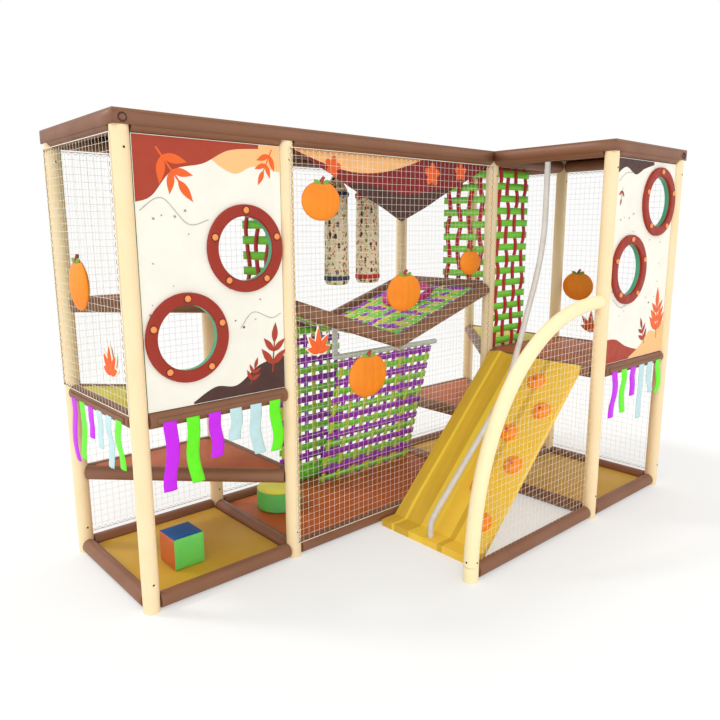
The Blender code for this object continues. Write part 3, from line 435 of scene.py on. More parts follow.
@dataclass(frozen=True)
class Laminate:
    """Plywood with a printed laminate face: pale in front, coloured on its edges and back."""

    name: str
    front: Shade
    rear: Shade
    roughness: float = 0.42

    def material(self) -> Material:
        """Build the material.

        Returns:
            The material.
        """
        material, tree, shader = blank(self.name, IOR=1.5)
        coords = add(tree, "TexCoord")
        place = coords.outputs["Object"]
        facing = add(tree, "SeparateXYZ", {0: coords.outputs["Normal"]})
        ahead = add(tree, "Math", {0: facing.outputs["Y"], 1: -0.5}, operation="LESS_THAN")
        mottle = add(tree, "TexNoise", {"Vector": place, "Scale": per_metre(180), "Detail": 4.0})
        tint = add(tree, "MapRange", {
            "Value": mottle, "From Min": 0.4, "From Max": 0.8, "To Min": 1.0, "To Max": 0.93})
        side = add(tree, "Mix", {0: ahead, 6: linear(self.rear), 7: linear(self.front)}, data_type="RGBA")
        colour = add(tree, "Mix", {0: 1.0, 6: side.outputs[2], 7: tint}, data_type="RGBA",
            blend_type="MULTIPLY")
        fine = add(tree, "TexNoise", {"Vector": place, "Scale": per_metre(3)})
        shine = add(tree, "MapRange", {
            "Value": mottle, "To Min": self.roughness - 0.08, "To Max": self.roughness + 0.1})
        skin = add(tree, "Bump", {"Height": fine, "Strength": 0.08, "Distance": 0.0003})
        wire(tree, shader, colour.outputs[2], skin, shine)
        return material


@dataclass(frozen=True)
class PrintedCloth:
    """Canvas printed with small scattered marks in autumn colours, a few thread widths across."""

    name: str
    ground: Shade
    motifs: tuple[Shade, ...]
    pitch: float = 26.0
    mark: float = 0.23
    jitter: float = 0.55

    def material(self) -> Material:
        """Build the material.

        Returns:
            The material.
        """
        material, tree, shader = blank(self.name, IOR=1.5, Sheen_Weight=0.2, Sheen_Roughness=0.5,
            Roughness=0.72)
        place = add(tree, "TexCoord").outputs["Object"]
        last: Any = linear(self.ground)
        for step, shade in enumerate(self.motifs):
            shift = add(tree, "Mapping", {
                "Vector": place, "Location": (0.31 * step, 0.7, 0.2 * step),
                "Scale": (1.0, 1.0, 1.0 - 0.15 * step)})
            cells = add(tree, "TexVoronoi", {
                "Vector": shift, "Randomness": self.jitter,
                "Scale": per_metre(self.pitch * (1 + 0.2 * step))})
            dot = add(tree, "MapRange", {
                "Value": cells.outputs["Distance"], "From Min": self.mark, "From Max": self.mark + 0.05,
                "To Min": 1.0, "To Max": 0.0})
            last = add(tree, "Mix", {0: dot, 6: last, 7: linear(shade)}, data_type="RGBA").outputs[2]
        weave = add(tree, "TexNoise", {"Vector": place, "Scale": per_metre(3.5), "Detail": 2.0})
        skin = add(tree, "Bump", {"Height": weave, "Strength": 0.3, "Distance": 0.0006})
        wire(tree, shader, last, skin)
        return material


Finish = Vinyl | Webbing | Satin | Moulded | Coated | Laminate | PrintedCloth

POST_VINYL = Vinyl("vinyl_cream", Shade.POST, Shade.POST_WEAR_AND_SHADE)
BEAM_VINYL = Vinyl("vinyl_brown", Shade.BEAM, Shade.BEAM_WEAR_AND_SHADE, roughness=0.5)
OCHRE_VINYL = Vinyl("vinyl_ochre", Shade.OCHRE, Shade.OCHRE_WEAR_AND_SHADE, pucker=0.002)
ORANGE_VINYL = Vinyl("vinyl_orange_brown", Shade.ORANGE_DECK, Shade.ORANGE_DECK_WEAR_AND_SHADE, pucker=0.002)
YELLOW_VINYL = Vinyl("vinyl_yellow", Shade.YELLOW_DECK, Shade.OCHRE, pucker=0.002)
ARCH_VINYL = Vinyl("vinyl_pale_yellow", Shade.ARCH, Shade.POST, roughness=0.42)
MAGENTA_VINYL = Vinyl("vinyl_magenta", Shade.MAGENTA, Shade.MAROON)
GREEN_VINYL = Vinyl("vinyl_green", Shade.CUBE_GREEN, Shade.TEAL)
BLUE_VINYL = Vinyl("vinyl_blue", Shade.CUBE_BLUE, Shade.CUBE_BLUE)
ORANGE_SIDE_VINYL = Vinyl("vinyl_orange", Shade.CUBE_ORANGE, Shade.RUST)
YELLOW_TOP_VINYL = Vinyl("vinyl_lemon", Shade.STRAP_YELLOW, Shade.YELLOW_DECK)
RED_VINYL = Vinyl("vinyl_red", Shade.RED, Shade.MAROON)
NAVY_VINYL = Vinyl("vinyl_navy", Shade.NAVY, Shade.BLACK)
PURPLE_STRAP = Webbing("webbing_purple", Shade.PURPLE)
GREEN_STRAP = Webbing("webbing_green", Shade.GREEN)
YELLOW_STRAP = Webbing("webbing_yellow", Shade.STRAP_YELLOW)
RED_STRAP = Webbing("webbing_red", Shade.RED)
LIME_STRAP = Webbing("webbing_lime", Shade.LIME)
PURPLE_RIBBON = Satin("satin_purple", Shade.RIBBON_PURPLE)
GREEN_RIBBON = Satin("satin_green", Shade.RIBBON_GREEN)
BLUE_RIBBON = Satin("satin_light_blue", Shade.RIBBON_BLUE)
PEACH_CLOTH = Satin("cloth_peach", Shade.PEACH, roughness=0.7)
MAROON_CLOTH = Satin("cloth_maroon", Shade.MAROON, roughness=0.7)
BROWN_CLOTH = Satin("cloth_dark_brown", Shade.DARK_BROWN, roughness=0.7)
LEAF_CLOTH = Satin("cloth_leaf_orange", Shade.LEAF, roughness=0.7)
SLIDE_PLASTIC = Moulded("polyethylene_yellow", Shade.SLIDE, Shade.SLIDE_DARK, highlight_streak=0.2)
# painted shade: a darker copy of the slide plastic for the bands that face away from the light
SLIDE_SHADE_PLASTIC = Moulded("polyethylene_yellow_painted_shade", Shade.SLIDE_DARK, Shade.OCHRE_WEAR_AND_SHADE, highlight_streak=0.2)
RAMP_PLASTIC = Moulded("polyethylene_ramp", Shade.RAMP, Shade.SLIDE_DARK)
PUMPKIN_PLASTIC = Moulded("polyethylene_orange", Shade.PUMPKIN, Shade.PUMPKIN_DARK)
STEM_PLASTIC = Moulded("polyethylene_stem", Shade.RUST, Shade.DARK_BROWN)
RING_PLASTIC = Moulded("abs_brick_red", Shade.RING, Shade.RING, roughness=0.45)
BUTTON_PLASTIC = Moulded("abs_orange_cap", Shade.BUTTON, Shade.LEAF, roughness=0.3)
TEAL_PLASTIC = Moulded("abs_teal", Shade.TEAL, Shade.TEAL, roughness=0.4)
BLACK_PLASTIC = Moulded("nylon_black", Shade.BLACK, Shade.BLACK, roughness=0.45)
PIPE_COAT = Coated("powder_coat_grey", Shade.PIPE)
STEEL_COAT = Coated("zinc_plated_steel", Shade.STEEL, metallic=1.0, roughness=0.3)
NET_ROPE = Coated("braided_nylon_cord", Shade.NET, roughness=0.7)
LACE_ROPE = Coated("braided_cord_dark", Shade.DARK_BROWN, roughness=0.75)
BOARD_LAMINATE = Laminate("laminate_white", Shade.BOARD, Shade.TEAL)
ROOF_LAMINATE = Laminate("laminate_brown", Shade.BEAM, Shade.BEAM)
RUST_FOIL = Moulded("foil_rust", Shade.RUST, Shade.RING, roughness=0.5)
PEACH_FOIL = Moulded("foil_peach", Shade.PEACH, Shade.PEACH, roughness=0.5)
LEAF_FOIL = Moulded("foil_leaf_orange", Shade.LEAF, Shade.PUMPKIN_DARK, roughness=0.5)
BROWN_FOIL = Moulded("foil_dark_brown", Shade.DARK_BROWN, Shade.BLACK, roughness=0.5)
GREY_FOIL = Moulded("foil_grey_line", Shade.LINE_GREY, Shade.LINE_GREY, roughness=0.5)
WHITE_FOAM = Vinyl("foam_white", Shade.BOARD, Shade.POST)
PUMPKIN_FOAM = Vinyl("foam_orange", Shade.PUMPKIN, Shade.PUMPKIN_DARK)
LEAF_GREEN_FOAM = Vinyl("foam_green", Shade.OLIVE, Shade.CUBE_GREEN)
BAG_CANVAS = PrintedCloth("canvas_autumn_print", Shade.BAG,
    (Shade.LEAF, Shade.RUST, Shade.OLIVE, Shade.DARK_BROWN))
BROWN_RIBBON = Satin("cloth_header_brown", Shade.BEAM, roughness=0.6)
RAIL_COAT = Coated("powder_coat_white", Shade.RAIL)


@dataclass
class Cupboard:
    """The finishes already made, by name."""

    made: dict[str, Material]

    def take(self, finish: Finish) -> Material:
        """Return a finish's material, made once."""
        return self.made.get(finish.name) or self.made.setdefault(finish.name, finish.material())


CUPBOARD = Cupboard({})


def spot(column: float, row: float, level: float = 0.0) -> Vector:
    """Place of a grid point."""
    return Vector((LEFT_EDGE + column * CELL, MAIN_FRONT + row * CELL, level))


def travel(path: Sequence[Vector], factors: Sequence[float] | None = None) -> list[Matrix]:
    """Work out frames along a path, each with its z axis along it and no twist.

    Args:
        path: The points.
        factors: A size across the path at each point.

    Returns:
        One matrix for each point.
    """
    frames = []
    turn = None
    for index, point in enumerate(path):
        ahead = (path[min(index + 1, len(path) - 1)] - path[max(index - 1, 0)]).normalized()
        if turn is None:
            turn = UP.rotation_difference(ahead)
        else:
            turn = (turn @ UP).rotation_difference(ahead) @ turn
        size = factors[index] if factors else 1.0
        frames.append(Matrix.LocRotScale(point, turn, Vector((size, size, 1.0))))
    return frames


def smooth_path(points: Sequence[Vector], steps: int) -> list[Vector]:
    """Run a smooth curve through points.

    Args:
        points: The points it passes.
        steps: Pieces between each two of them.

    Returns:
        The finer path.
    """
    fine = []
    last = len(points) - 1
    for index in range(last):
        before, here = points[max(index - 1, 0)], points[index]
        there, after = points[index + 1], points[min(index + 2, last)]
        for step in range(steps):
            t = step / steps
            pull = (there - before) * t + (2 * before - 5 * here + 4 * there - after) * t ** 2
            fine.append(here + 0.5 * (pull + (3 * here - before - 3 * there + after) * t ** 3))
    fine.append(points[last])
    return fine


def between(start: Vector, end: Vector, count: int) -> list[Vector]:
    """Evenly spaced points from one to the other, ends included."""
    return [start.lerp(end, index / count) for index in range(count + 1)]


class Piece:
    """A mesh in the making, with cloth coordinates in metres."""

    def __init__(self, name: str, *finishes: Finish) -> None:
        """Start an empty piece.

        Args:
            name: The object's name.
            finishes: Its finishes, in the order that faces name them.
        """
        self.name = name
        self.finishes = finishes
        self.builder = bmesh.new()
        self.cloth = self.builder.loops.layers.uv.new("Cloth")

    def dress(self, verts: Iterable[BMVert], slot: int) -> set[BMFace]:
        """Give the faces round some points a finish.

        Args:
            verts: The points.
            slot: Number of the finish.

        Returns:
            The faces.
        """
        faces = {face for vert in verts for face in vert.link_faces}
        for face in faces:
            face.material_index = slot
        return faces

    def sheet(self, columns: int, rows: int, cut: tuple[float, float],
              place: Callable[[float, float], Vector], slot: int = 0,
              gone: Callable[[Vector], bool] | None = None) -> list[BMVert]:
        """Lay a grid on a surface.

        Args:
            columns: Faces across.
            rows: Faces along.
            cut: Width and length of the flat sheet, for its cloth coordinates.
            place: World point at shares across and along.
            slot: Number of its finish.
            gone: Says which face middles are left open.

        Returns:
            The grid's points.
        """
        made = bmesh.ops.create_grid(self.builder, x_segments=columns, y_segments=rows, size=0.5)
        verts = made["verts"]
        faces = self.dress(verts, slot)
        for face in faces:
            for loop in face.loops:
                where = loop.vert.co
                loop[self.cloth].uv = ((where.x + 0.5) * cut[0], (where.y + 0.5) * cut[1])
        for vert in verts:
            vert.co = place(vert.co.x + 0.5, vert.co.y + 0.5)
        if gone:
            open_faces = [face for face in faces if gone(face.calc_center_median())]
            bmesh.ops.delete(self.builder, geom=open_faces, context="FACES")
            verts = [vert for vert in verts if vert.is_valid]
        return verts

    def tube(self, path: Sequence[Vector], radius: float, sides: int, slot: int = 0,
             factors: Sequence[float] | None = None) -> None:
        """Draw a round tube along a path, with closed ends.

        It is built apart and taken in at the end, which keeps each operator's work small.

        Args:
            path: Its centre line.
            radius: Its radius.
            sides: Faces round it.
            slot: Number of its finish.
            factors: A factor on the radius at each point.
        """
        part = bmesh.new()
        cloth = part.loops.layers.uv.new("Cloth")
        frames = travel(path, factors)
        made = bmesh.ops.create_circle(part, segments=sides, radius=radius, matrix=frames[0])
        order = {vert: index for index, vert in enumerate(made["verts"])}
        edges = list(part.edges)
        caps = list(edges)
        lengths = dict.fromkeys(order, 0.0)
        run = 0.0
        for number, (before, after) in enumerate(zip(frames, frames[1:]), 1):
            run += (path[number] - path[number - 1]).length
            grown = bmesh.ops.extrude_edge_only(part, edges=edges)["geom"]
            fresh = [item for item in grown if isinstance(item, BMVert)]
            edges = [item for item in grown if isinstance(item, BMEdge)]
            bmesh.ops.transform(part, matrix=after @ before.inverted(), verts=fresh)
            for vert in fresh:
                mates = [edge.other_vert(vert) for edge in vert.link_edges]
                order[vert] = next(order[mate] for mate in mates if mate in lengths)
            lengths.update(dict.fromkeys(fresh, run))
        around = 2 * math.pi * radius / sides
        for face in part.faces:
            seam = {order[vert] for vert in face.verts} >= {0, sides - 1}
            for loop in face.loops:
                index = order[loop.vert]
                turn = sides if seam and index == 0 else index
                loop[cloth].uv = (turn * around, lengths[loop.vert])
        bmesh.ops.edgeloop_fill(part, edges=caps)
        bmesh.ops.edgeloop_fill(part, edges=edges)
        for face in part.faces:
            face.material_index = slot
        mesh = bpy.data.meshes.new("part")
        part.to_mesh(mesh)
        part.free()
        self.builder.from_mesh(mesh)
        bpy.data.meshes.remove(mesh)

    def lathe(self, profile: Sequence[tuple[float, float]], seat: Matrix, sides: int,
              slot: int) -> list[BMVert]:
        """Turn a profile about the z axis of its seat.

        Args:
            profile: Radius and height of each point.
            seat: Where the turned shape goes.
            sides: Steps round it.
            slot: Number of its finish.

        Returns:
            The shape's points.
        """
        before = set(self.builder.verts)
        rim = [self.builder.verts.new((radius, 0, height)) for radius, height in profile]
        edges = [self.builder.edges.new(pair) for pair in zip(rim, rim[1:])]
        bmesh.ops.spin(self.builder, geom=rim + edges, cent=(0, 0, 0), axis=(0, 0, 1), angle=2 * math.pi,
            steps=sides, use_merge=True)
        fresh = [vert for vert in self.builder.verts if vert not in before]
        bmesh.ops.remove_doubles(self.builder, verts=fresh, dist=0.00001)
        fresh = [vert for vert in self.builder.verts if vert not in before]
        bmesh.ops.transform(self.builder, matrix=seat, verts=fresh)
        self.dress(fresh, slot)
        return fresh

    def hoop(self, seat: Matrix, major: float, minor: float, sides: int, round_sides: int,
             slot: int = 0) -> list[BMVert]:
        """Make a closed ring about the z axis of its seat, from its two radii, and return its points."""
        profile = [(major + minor * math.cos(angle), minor * math.sin(angle))
                   for angle in (2 * math.pi * index / round_sides for index in range(round_sides + 1))]
        return self.lathe(profile, seat, sides, slot)

    def block(self, low: Vector, high: Vector, edge: float) -> None:
        """Make a box with rounded edges.

        Args:
            low: Its lowest corner.
            high: Its highest corner.
            edge: Radius of its edges.
        """
        before = set(self.builder.verts)
        seat = Matrix.Translation((low + high) / 2) @ Matrix.Diagonal((*(high - low), 1.0))
        made = bmesh.ops.create_cube(self.builder, size=1.0, matrix=seat)
        edges = list({item for vert in made["verts"] for item in vert.link_edges})
        bmesh.ops.bevel(self.builder, geom=edges, offset=edge, affect="EDGES", segments=EDGE_STEPS,
            profile=0.5, material=-1)
        self.dress([vert for vert in self.builder.verts if vert not in before], 0)

    def slab(self, corners: Sequence[Vector], rise: Vector, cut: float, edge: float) -> None:
        """Make a flat board with cut corners and rounded edges.

        Args:
            corners: Its outline.
            rise: From its underside to its top.
            cut: How far each corner is cut back.
            edge: Radius of its rounded edges.
        """
        before = set(self.builder.verts)
        rim = [self.builder.verts.new(corner) for corner in corners]
        self.builder.faces.new(rim)
        bmesh.ops.bevel(self.builder, geom=rim, offset=cut, affect="VERTICES", segments=1, profile=0.5,
            material=-1)
        fresh = [vert for vert in self.builder.verts if vert not in before]
        faces = list({face for vert in fresh for face in vert.link_faces})
        grown = bmesh.ops.extrude_face_region(self.builder, geom=faces)["geom"]
        raised = [item for item in grown if isinstance(item, BMVert)]
        bmesh.ops.translate(self.builder, vec=rise, verts=raised)
        fresh = [vert for vert in self.builder.verts if vert not in before]
        edges = list({item for vert in fresh for item in vert.link_edges})
        bmesh.ops.bevel(self.builder, geom=edges, offset=edge, affect="EDGES", segments=EDGE_STEPS,
            profile=0.5, material=-1)
        self.dress([vert for vert in self.builder.verts if vert not in before], 0)

    def dome(self, centre: Vector, radii: Vector, sides: int, slot: int) -> list[BMVert]:
        """Make a flattened ball.

        Args:
            centre: Its middle.
            radii: Half its size along each axis.
            sides: Faces round it.
            slot: Number of its finish.

        Returns:
            The ball's points.
        """
        made = bmesh.ops.create_uvsphere(self.builder, u_segments=sides, v_segments=sides // 2, radius=1.0,
            matrix=Matrix.Translation(centre) @ Matrix.Diagonal((*radii, 1.0)))
        self.dress(made["verts"], slot)
        return made["verts"]

    def bolt(self, centre: Vector, towards: Vector, radius: float, slot: int) -> None:
        """Set a small domed bolt cap on a round sleeve.

        Args:
            centre: Place on the sleeve's centre line.
            towards: The way that the cap faces.
            radius: Radius of the sleeve.
            slot: Number of its finish.
        """
        turn = UP.rotation_difference(towards).to_matrix().to_4x4()
        seat = Matrix.Translation(centre + towards * (radius - 0.002)) @ turn
        self.lathe([(0, 0.004), (0.004, 0.0035), (0.006, 0.001), (0.006, -0.003)], seat, 12, slot)

    def close(self, slot: str, *nodes: str, body: str = "root", thickness: float = 0.0,
              angle: float = 40.0) -> bpy.types.Object:
        """Make the object and tie it to the frame.

        Args:
            slot: The record's material slot; not used.
            nodes: The CAD nodes that it stands for.
            body: The body that it rides on.
            thickness: Thickness given to open sheets, or 0.
            angle: Edges sharper than this stay sharp.

        Returns:
            The object.
        """
        bmesh.ops.recalc_face_normals(self.builder, faces=self.builder.faces)
        mesh = bpy.data.meshes.new(self.name)
        self.builder.to_mesh(mesh)
        self.builder.free()
        mesh.shade_smooth()
        mesh.set_sharp_from_angle(angle=math.radians(angle))
        item = bpy.data.objects.new(self.name, mesh)
        bpy.context.scene.collection.objects.link(item)
        for finish in self.finishes:
            mesh.materials.append(CUPBOARD.take(finish))
        if thickness:
            shell = item.modifiers.new("thickness", "SOLIDIFY")
            shell.thickness = thickness
            shell.offset = 0.0
        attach(item, body)
        if nodes:
            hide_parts(*nodes)
        log.info("%s: %d faces", self.name, len(mesh.polygons))
        return item


@dataclass
class Sleeve:
    """A foam sleeve in welded vinyl round a steel tube."""

    sides: int = 28
    step: float = 0.06
    end_round: float = 0.004
    ripple: float = 0.0007

    def lay(self, piece: Piece, start: Vector, end: Vector, radius: float, slot: int = 0,
            round_ends: bool = True) -> None:
        """Sleeve a straight tube.

        Args:
            piece: The mesh to add to.
            start: One end.
            end: The other end.
            radius: Radius of the sleeve.
            slot: Number of its finish.
            round_ends: Whether its ends are drawn in.
        """
        run = (end - start).normalized()
        path = between(start, end, max(2, round((end - start).length / self.step)))
        factors = [1.0 + (noise.noise(point * 7.0) * self.ripple - self.ripple) / radius for point in path]
        if round_ends:
            path = [start, start + run * self.end_round, *path[1:-1], end - run * self.end_round, end]
            factors = [0.93, 1.0 - self.ripple / radius, *factors[1:-1], 1.0 - self.ripple / radius, 0.93]
        piece.tube(path, radius, self.sides, slot, factors)


@dataclass
class TubeFrame:
    """Posts, base beams, roof beams and the roof board."""

    sleeve: Sleeve
    bolt_levels: tuple[float, float] = (0.16, 2.28)
    band: float = 0.058
    band_thick: float = 0.002
    loop: float = 0.019
    loop_cord: float = 0.003

    def posts(self) -> None:
        """Sleeve every post, with its bolt caps."""
        for name, (column, row) in POSTS.items():
            low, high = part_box(name)
            piece = Piece("sleeve_" + name, POST_VINYL, BLACK_PLASTIC)
            start, end = spot(column, row, low.z), spot(column, row, high.z)
            self.sleeve.lay(piece, start, end, POST_RADIUS, 0, round_ends=False)
            for level in self.bolt_levels:
                for towards in (-BACK, RIGHT):
                    piece.bolt(spot(column, row, level), towards, POST_RADIUS, 1)
            piece.close("cream_foam", name)

    def edging(self) -> None:
        """Hang the vinyl band round the roof board's edge, with a webbing loop at two corners."""
        low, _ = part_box("roof_panel")
        out = spot(0, 0).x - low.x
        corners = [spot(*corner) + Vector((side * out, ahead * out, low.z - SEAT))
                   for corner, side, ahead in ROOF_CORNERS]
        piece = Piece("roof_edging", BEAM_VINYL)
        for start, end in zip(corners, corners[1:]):
            length = (end - start).length
            piece.sheet(round(length / 0.15), 2, (length, self.band),
                        lambda u, v: start.lerp(end, u) - UP * self.band * v)
        piece.close("brown_foam", thickness=self.band_thick)
        for corner in LOOPED:
            loop = Piece("corner_loop_%d_%d" % (corner[0], corner[1] + 1), LACE_ROPE)
            face = spot(*corner, low.z - self.band / 2) - BACK * (out + self.band_thick)
            loop.hoop(Matrix.Translation(face) @ Matrix.Rotation(math.pi / 2, 4, "X"), self.loop,
                      self.loop_cord, 24, 8)
            loop.close("brown_foam")

    def level(self, name: str, level: float, extra: Sequence[tuple[Vector, Vector]],
              stubs: Sequence[tuple[Vector, int]], node: str) -> None:
        """Sleeve the beams of one level and the post ends in it.

        Args:
            name: The object's name.
            level: Height of its beams.
            extra: Ends of each beam that is off the grid.
            stubs: Place and finish of each post end.
            node: The CAD node that it stands for.
        """
        piece = Piece(name, BEAM_VINYL, POST_VINYL, ARCH_VINYL)
        rise = UP * level
        runs = [(spot(*start), spot(*end)) for start, end in RUNS]
        for start, end in runs:
            run = (end - start).normalized()
            self.sleeve.lay(piece, start + run * BEAM_END + rise, end - run * BEAM_END + rise, BEAM_RADIUS)
        for start, end in extra:
            self.sleeve.lay(piece, start + rise, end + rise, BEAM_RADIUS)
        half = UP * STUB_HEIGHT / 2
        for place, slot in stubs:
            self.sleeve.lay(piece, place + rise - half, place + rise + half, POST_RADIUS, slot, False)
        piece.close("brown_foam", node)

    def build(self) -> None:
        """Build the frame."""
        self.posts()
        stubs = [(spot(*where), 1) for where in POSTS.values()]
        foot = spot(3, -1) - RIGHT * ArchBay.reach
        self.level("base_sleeves", STUB_HEIGHT / 2,
            [(foot + RIGHT * BEAM_END, spot(3, -1) - RIGHT * BEAM_END)], stubs + [(foot, 2)], "base_frame")
        middle = BACK * CELL / 2
        self.level("roof_sleeves", ROOF_LEVEL,
            [(spot(1, 0) + middle + RIGHT * BEAM_RADIUS, spot(3, 0) + middle - RIGHT * BEAM_RADIUS)], stubs,
            "roof_frame")
        dress_node("roof_panel", ROOF_LAMINATE)
        self.edging()


def dress_node(name: str, finish: Finish) -> None:
    """Give a CAD node that stays a finish of its own."""
    for slot in bpy.data.objects[name].material_slots:
        slot.material = CUPBOARD.take(finish)


@dataclass
class Decks:
    """Padded step decks, the platform and the floor mats."""

    sleeve: Sleeve
    board_rise: float = 0.035
    board_thick: float = 0.05
    corner_cut: float = 0.074
    corner_inset: float = 0.02
    edge: float = 0.006
    mat_edge: float = 0.010
    mat_joint: float = 0.001

    def deck(self, node: str, corners: Sequence[tuple[int, int]], level: float, finish: Finish,
             slot: str, skipped: frozenset[tuple[int, int]] | None = None) -> None:
        """Build one deck with its beams.

        Args:
            node: The CAD node that it stands for.
            corners: Its grid points.
            level: Height of its beams.
            finish: Finish of its board.
            slot: The record's slot of its finish.
            skipped: The two grid points of an edge whose beam belongs to a neighbour.
        """
        piece = Piece("padded_" + node, finish, BEAM_VINYL)
        loop = list(zip(corners, [*corners[1:], corners[0]]))
        for start, end in loop:
            if skipped == frozenset((start, end)):
                continue
            first, second = spot(*start, level), spot(*end, level)
            run = (second - first).normalized()
            self.sleeve.lay(piece, first + run * BEAM_END, second - run * BEAM_END, BEAM_RADIUS, 1)
        middle = sum((spot(*corner, 0) for corner in corners), Vector()) / len(corners)
        outline = []
        for corner in corners:
            where = spot(*corner, level + self.board_rise - self.board_thick)
            outline.append(where + (middle - spot(*corner, 0)).normalized() * self.corner_inset)
        piece.slab(outline, UP * self.board_thick, self.corner_cut, self.edge)
        piece.close(slot, node)

    def mat(self, node: str, finish: Finish, slot: str, panels: int = 1) -> None:
        """Build one floor mat as panels laid side by side.

        Args:
            node: The CAD node that it stands for.
            finish: Its finish.
            slot: The record's slot of its finish.
            panels: How many there are.
        """
        low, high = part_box(node)
        piece = Piece("padded_" + node, finish)
        width = (high.x - low.x) / panels
        for index in range(panels):
            first = Vector((low.x + width * index, low.y, low.z))
            second = Vector((low.x + width * (index + 1) - self.mat_joint, high.y, high.z))
            piece.block(first, second, self.mat_edge)
        piece.close(slot, node)

    def build(self) -> None:
        """Build every deck and mat."""
        low, middle, high = DECK_RISE, 2 * DECK_RISE, 3 * DECK_RISE
        self.deck("step_deck_left_low", ((0, 1), (1, 1), (1, 0)), low, ORANGE_VINYL, "orange_deck")
        self.deck("step_deck_left_middle", ((0, 0), (1, 0), (0, 1)), middle, YELLOW_VINYL, "yellow_deck")
        self.deck("step_deck_left_high", ((0, 1), (1, 1), (1, 0)), high, ORANGE_VINYL, "orange_deck")
        self.deck("step_deck_right_low", ((3, 1), (4, 1), (3, 0)), low, ORANGE_VINYL, "orange_deck")
        self.deck("step_deck_right_middle", ((4, 1), (4, 0), (3, 0)), middle, YELLOW_VINYL, "yellow_deck",
                  frozenset(((3, 0), (4, 0))))
        self.deck("platform_right", ((3, -1), (4, -1), (4, 0), (3, 0)), middle, ORANGE_VINYL, "orange_deck")
        self.mat("mat_left", OCHRE_VINYL, "ochre_mat")
        self.mat("mat_middle", ORANGE_VINYL, "orange_deck", 2)
        self.mat("mat_right_back", OCHRE_VINYL, "ochre_mat")
        self.mat("mat_right_front", OCHRE_VINYL, "ochre_mat")


@dataclass
class Foil:
    """Cut vinyl foil shapes laid on a flat board that faces the front."""

    piece: Piece
    face: float
    left: float
    right: float
    low: float
    high: float
    layer: float = 0.00006
    fullness: float = 0.17

    def at(self, x: float, z: float) -> Vector:
        """Point on the board's face."""
        return Vector((x, self.face, z))

    def hill(self, outline: Sequence[tuple[float, float]], slot: int) -> None:
        """Lay an area from the board's lower edge, or from its upper edge where heights are negative.

        Args:
            outline: Share of the width and height of each point of its wavy side, left to right.
            slot: Number of its finish.
        """
        width = self.right - self.left
        path = smooth_path([Vector((share, 0, rise)) for share, rise in outline], 12)
        base = self.low if max(rise for _, rise in outline) > 0 else self.high
        self.face -= self.layer

        def place(u: float, v: float) -> Vector:
            """Point of the area at shares along its outline and towards it."""
            point = path[round(u * (len(path) - 1))]
            return self.at(self.left + width * point.x, base + point.z * v)

        self.piece.sheet(len(path) - 1, 6, (width, 0.2), place, slot)

    def leaf(self, x: float, z: float, length: float, turn: float, slot: int) -> None:
        """Lay one pointed leaf.

        Args:
            x: Place of its foot across the board.
            z: Height of its foot.
            length: Its length.
            turn: The way it runs, in degrees from level.
            slot: Number of its finish.
        """
        angle = math.radians(turn)
        along = Vector((math.cos(angle), 0, math.sin(angle)))
        side = Vector((-along.z, 0, along.x))
        self.face -= self.layer

        def place(u: float, v: float) -> Vector:
            """Point of the leaf at shares across and along."""
            swell = math.sin(math.pi * v ** 0.8) ** 1.1
            return self.at(x, z) + along * length * v + side * length * self.fullness * (2 * u - 1) * swell

        self.piece.sheet(2, 18, (length * self.fullness, length), place, slot)

    def sprig(self, share: float, z: float, length: float, turn: float, slot: int, pairs: int) -> None:
        """Lay a stem with a leaf at its tip and pairs of slender leaves beside it.

        Args:
            share: Place of its foot as a share of the board's width.
            z: Height of its foot.
            length: Its length.
            turn: The way it runs, in degrees from level.
            slot: Number of its finish.
            pairs: Pairs of leaves.
        """
        x = self.left + (self.right - self.left) * share
        angle = math.radians(turn)
        ahead = (math.cos(angle), math.sin(angle))
        self.line([(x + ahead[0] * length * part, z + ahead[1] * length * part)
                   for part in (0.0, 0.3, 0.6, 0.8)], length * 0.03, slot)
        self.leaf(x + ahead[0] * length * 0.6, z + ahead[1] * length * 0.6, length * 0.42, turn, slot)
        for pair in range(pairs):
            part = 0.16 + 0.52 * pair / pairs
            for hand in (-1, 1):
                self.leaf(x + ahead[0] * length * part, z + ahead[1] * length * part,
                          length * (0.44 - 0.06 * pair), turn + hand * 44, slot)

    def line(self, points: Sequence[tuple[float, float]], width: float, slot: int) -> None:
        """Lay a thin line.

        Args:
            points: Place across and height of each point that it passes.
            width: Its width.
            slot: Number of its finish.
        """
        path = smooth_path([self.at(x, z) - BACK * 0.0006 for x, z in points], 10)
        count = len(path) - 1

        def place(u: float, v: float) -> Vector:
            """Find a point of the line.

            Args:
                u: Share across.
                v: Share along.

            Returns:
                The point.
            """
            index = round(v * count)
            ahead = (path[min(index + 1, count)] - path[max(index - 1, 0)]).normalized()
            return path[index] + Vector((-ahead.z, 0, ahead.x)) * width * (u - 0.5)

        self.piece.sheet(1, count, (width, 0.3), place, slot)

    def disc(self, x: float, z: float, radius: float, slot: int) -> None:
        """Lay a round dot.

        Args:
            x: Its place across the board.
            z: Its height.
            radius: Its radius.
            slot: Number of its finish.
        """
        seat = Matrix.Translation(self.at(x, z) - BACK * 0.0008) @ Matrix.Rotation(math.pi / 2, 4, "X")
        made = bmesh.ops.create_circle(self.piece.builder, cap_ends=True, segments=16, radius=radius,
            matrix=seat)
        self.piece.dress(made["verts"], slot)


@dataclass(frozen=True)
class Layout:
    """Where the foil shapes of one board go, as shares of its width and metres up or down."""

    hills: tuple[tuple[int, tuple[tuple[float, float], ...]], ...]
    sprigs: tuple[tuple[float, float, float, float, int, int], ...]
    swags: tuple[tuple[tuple[float, float], ...], ...]


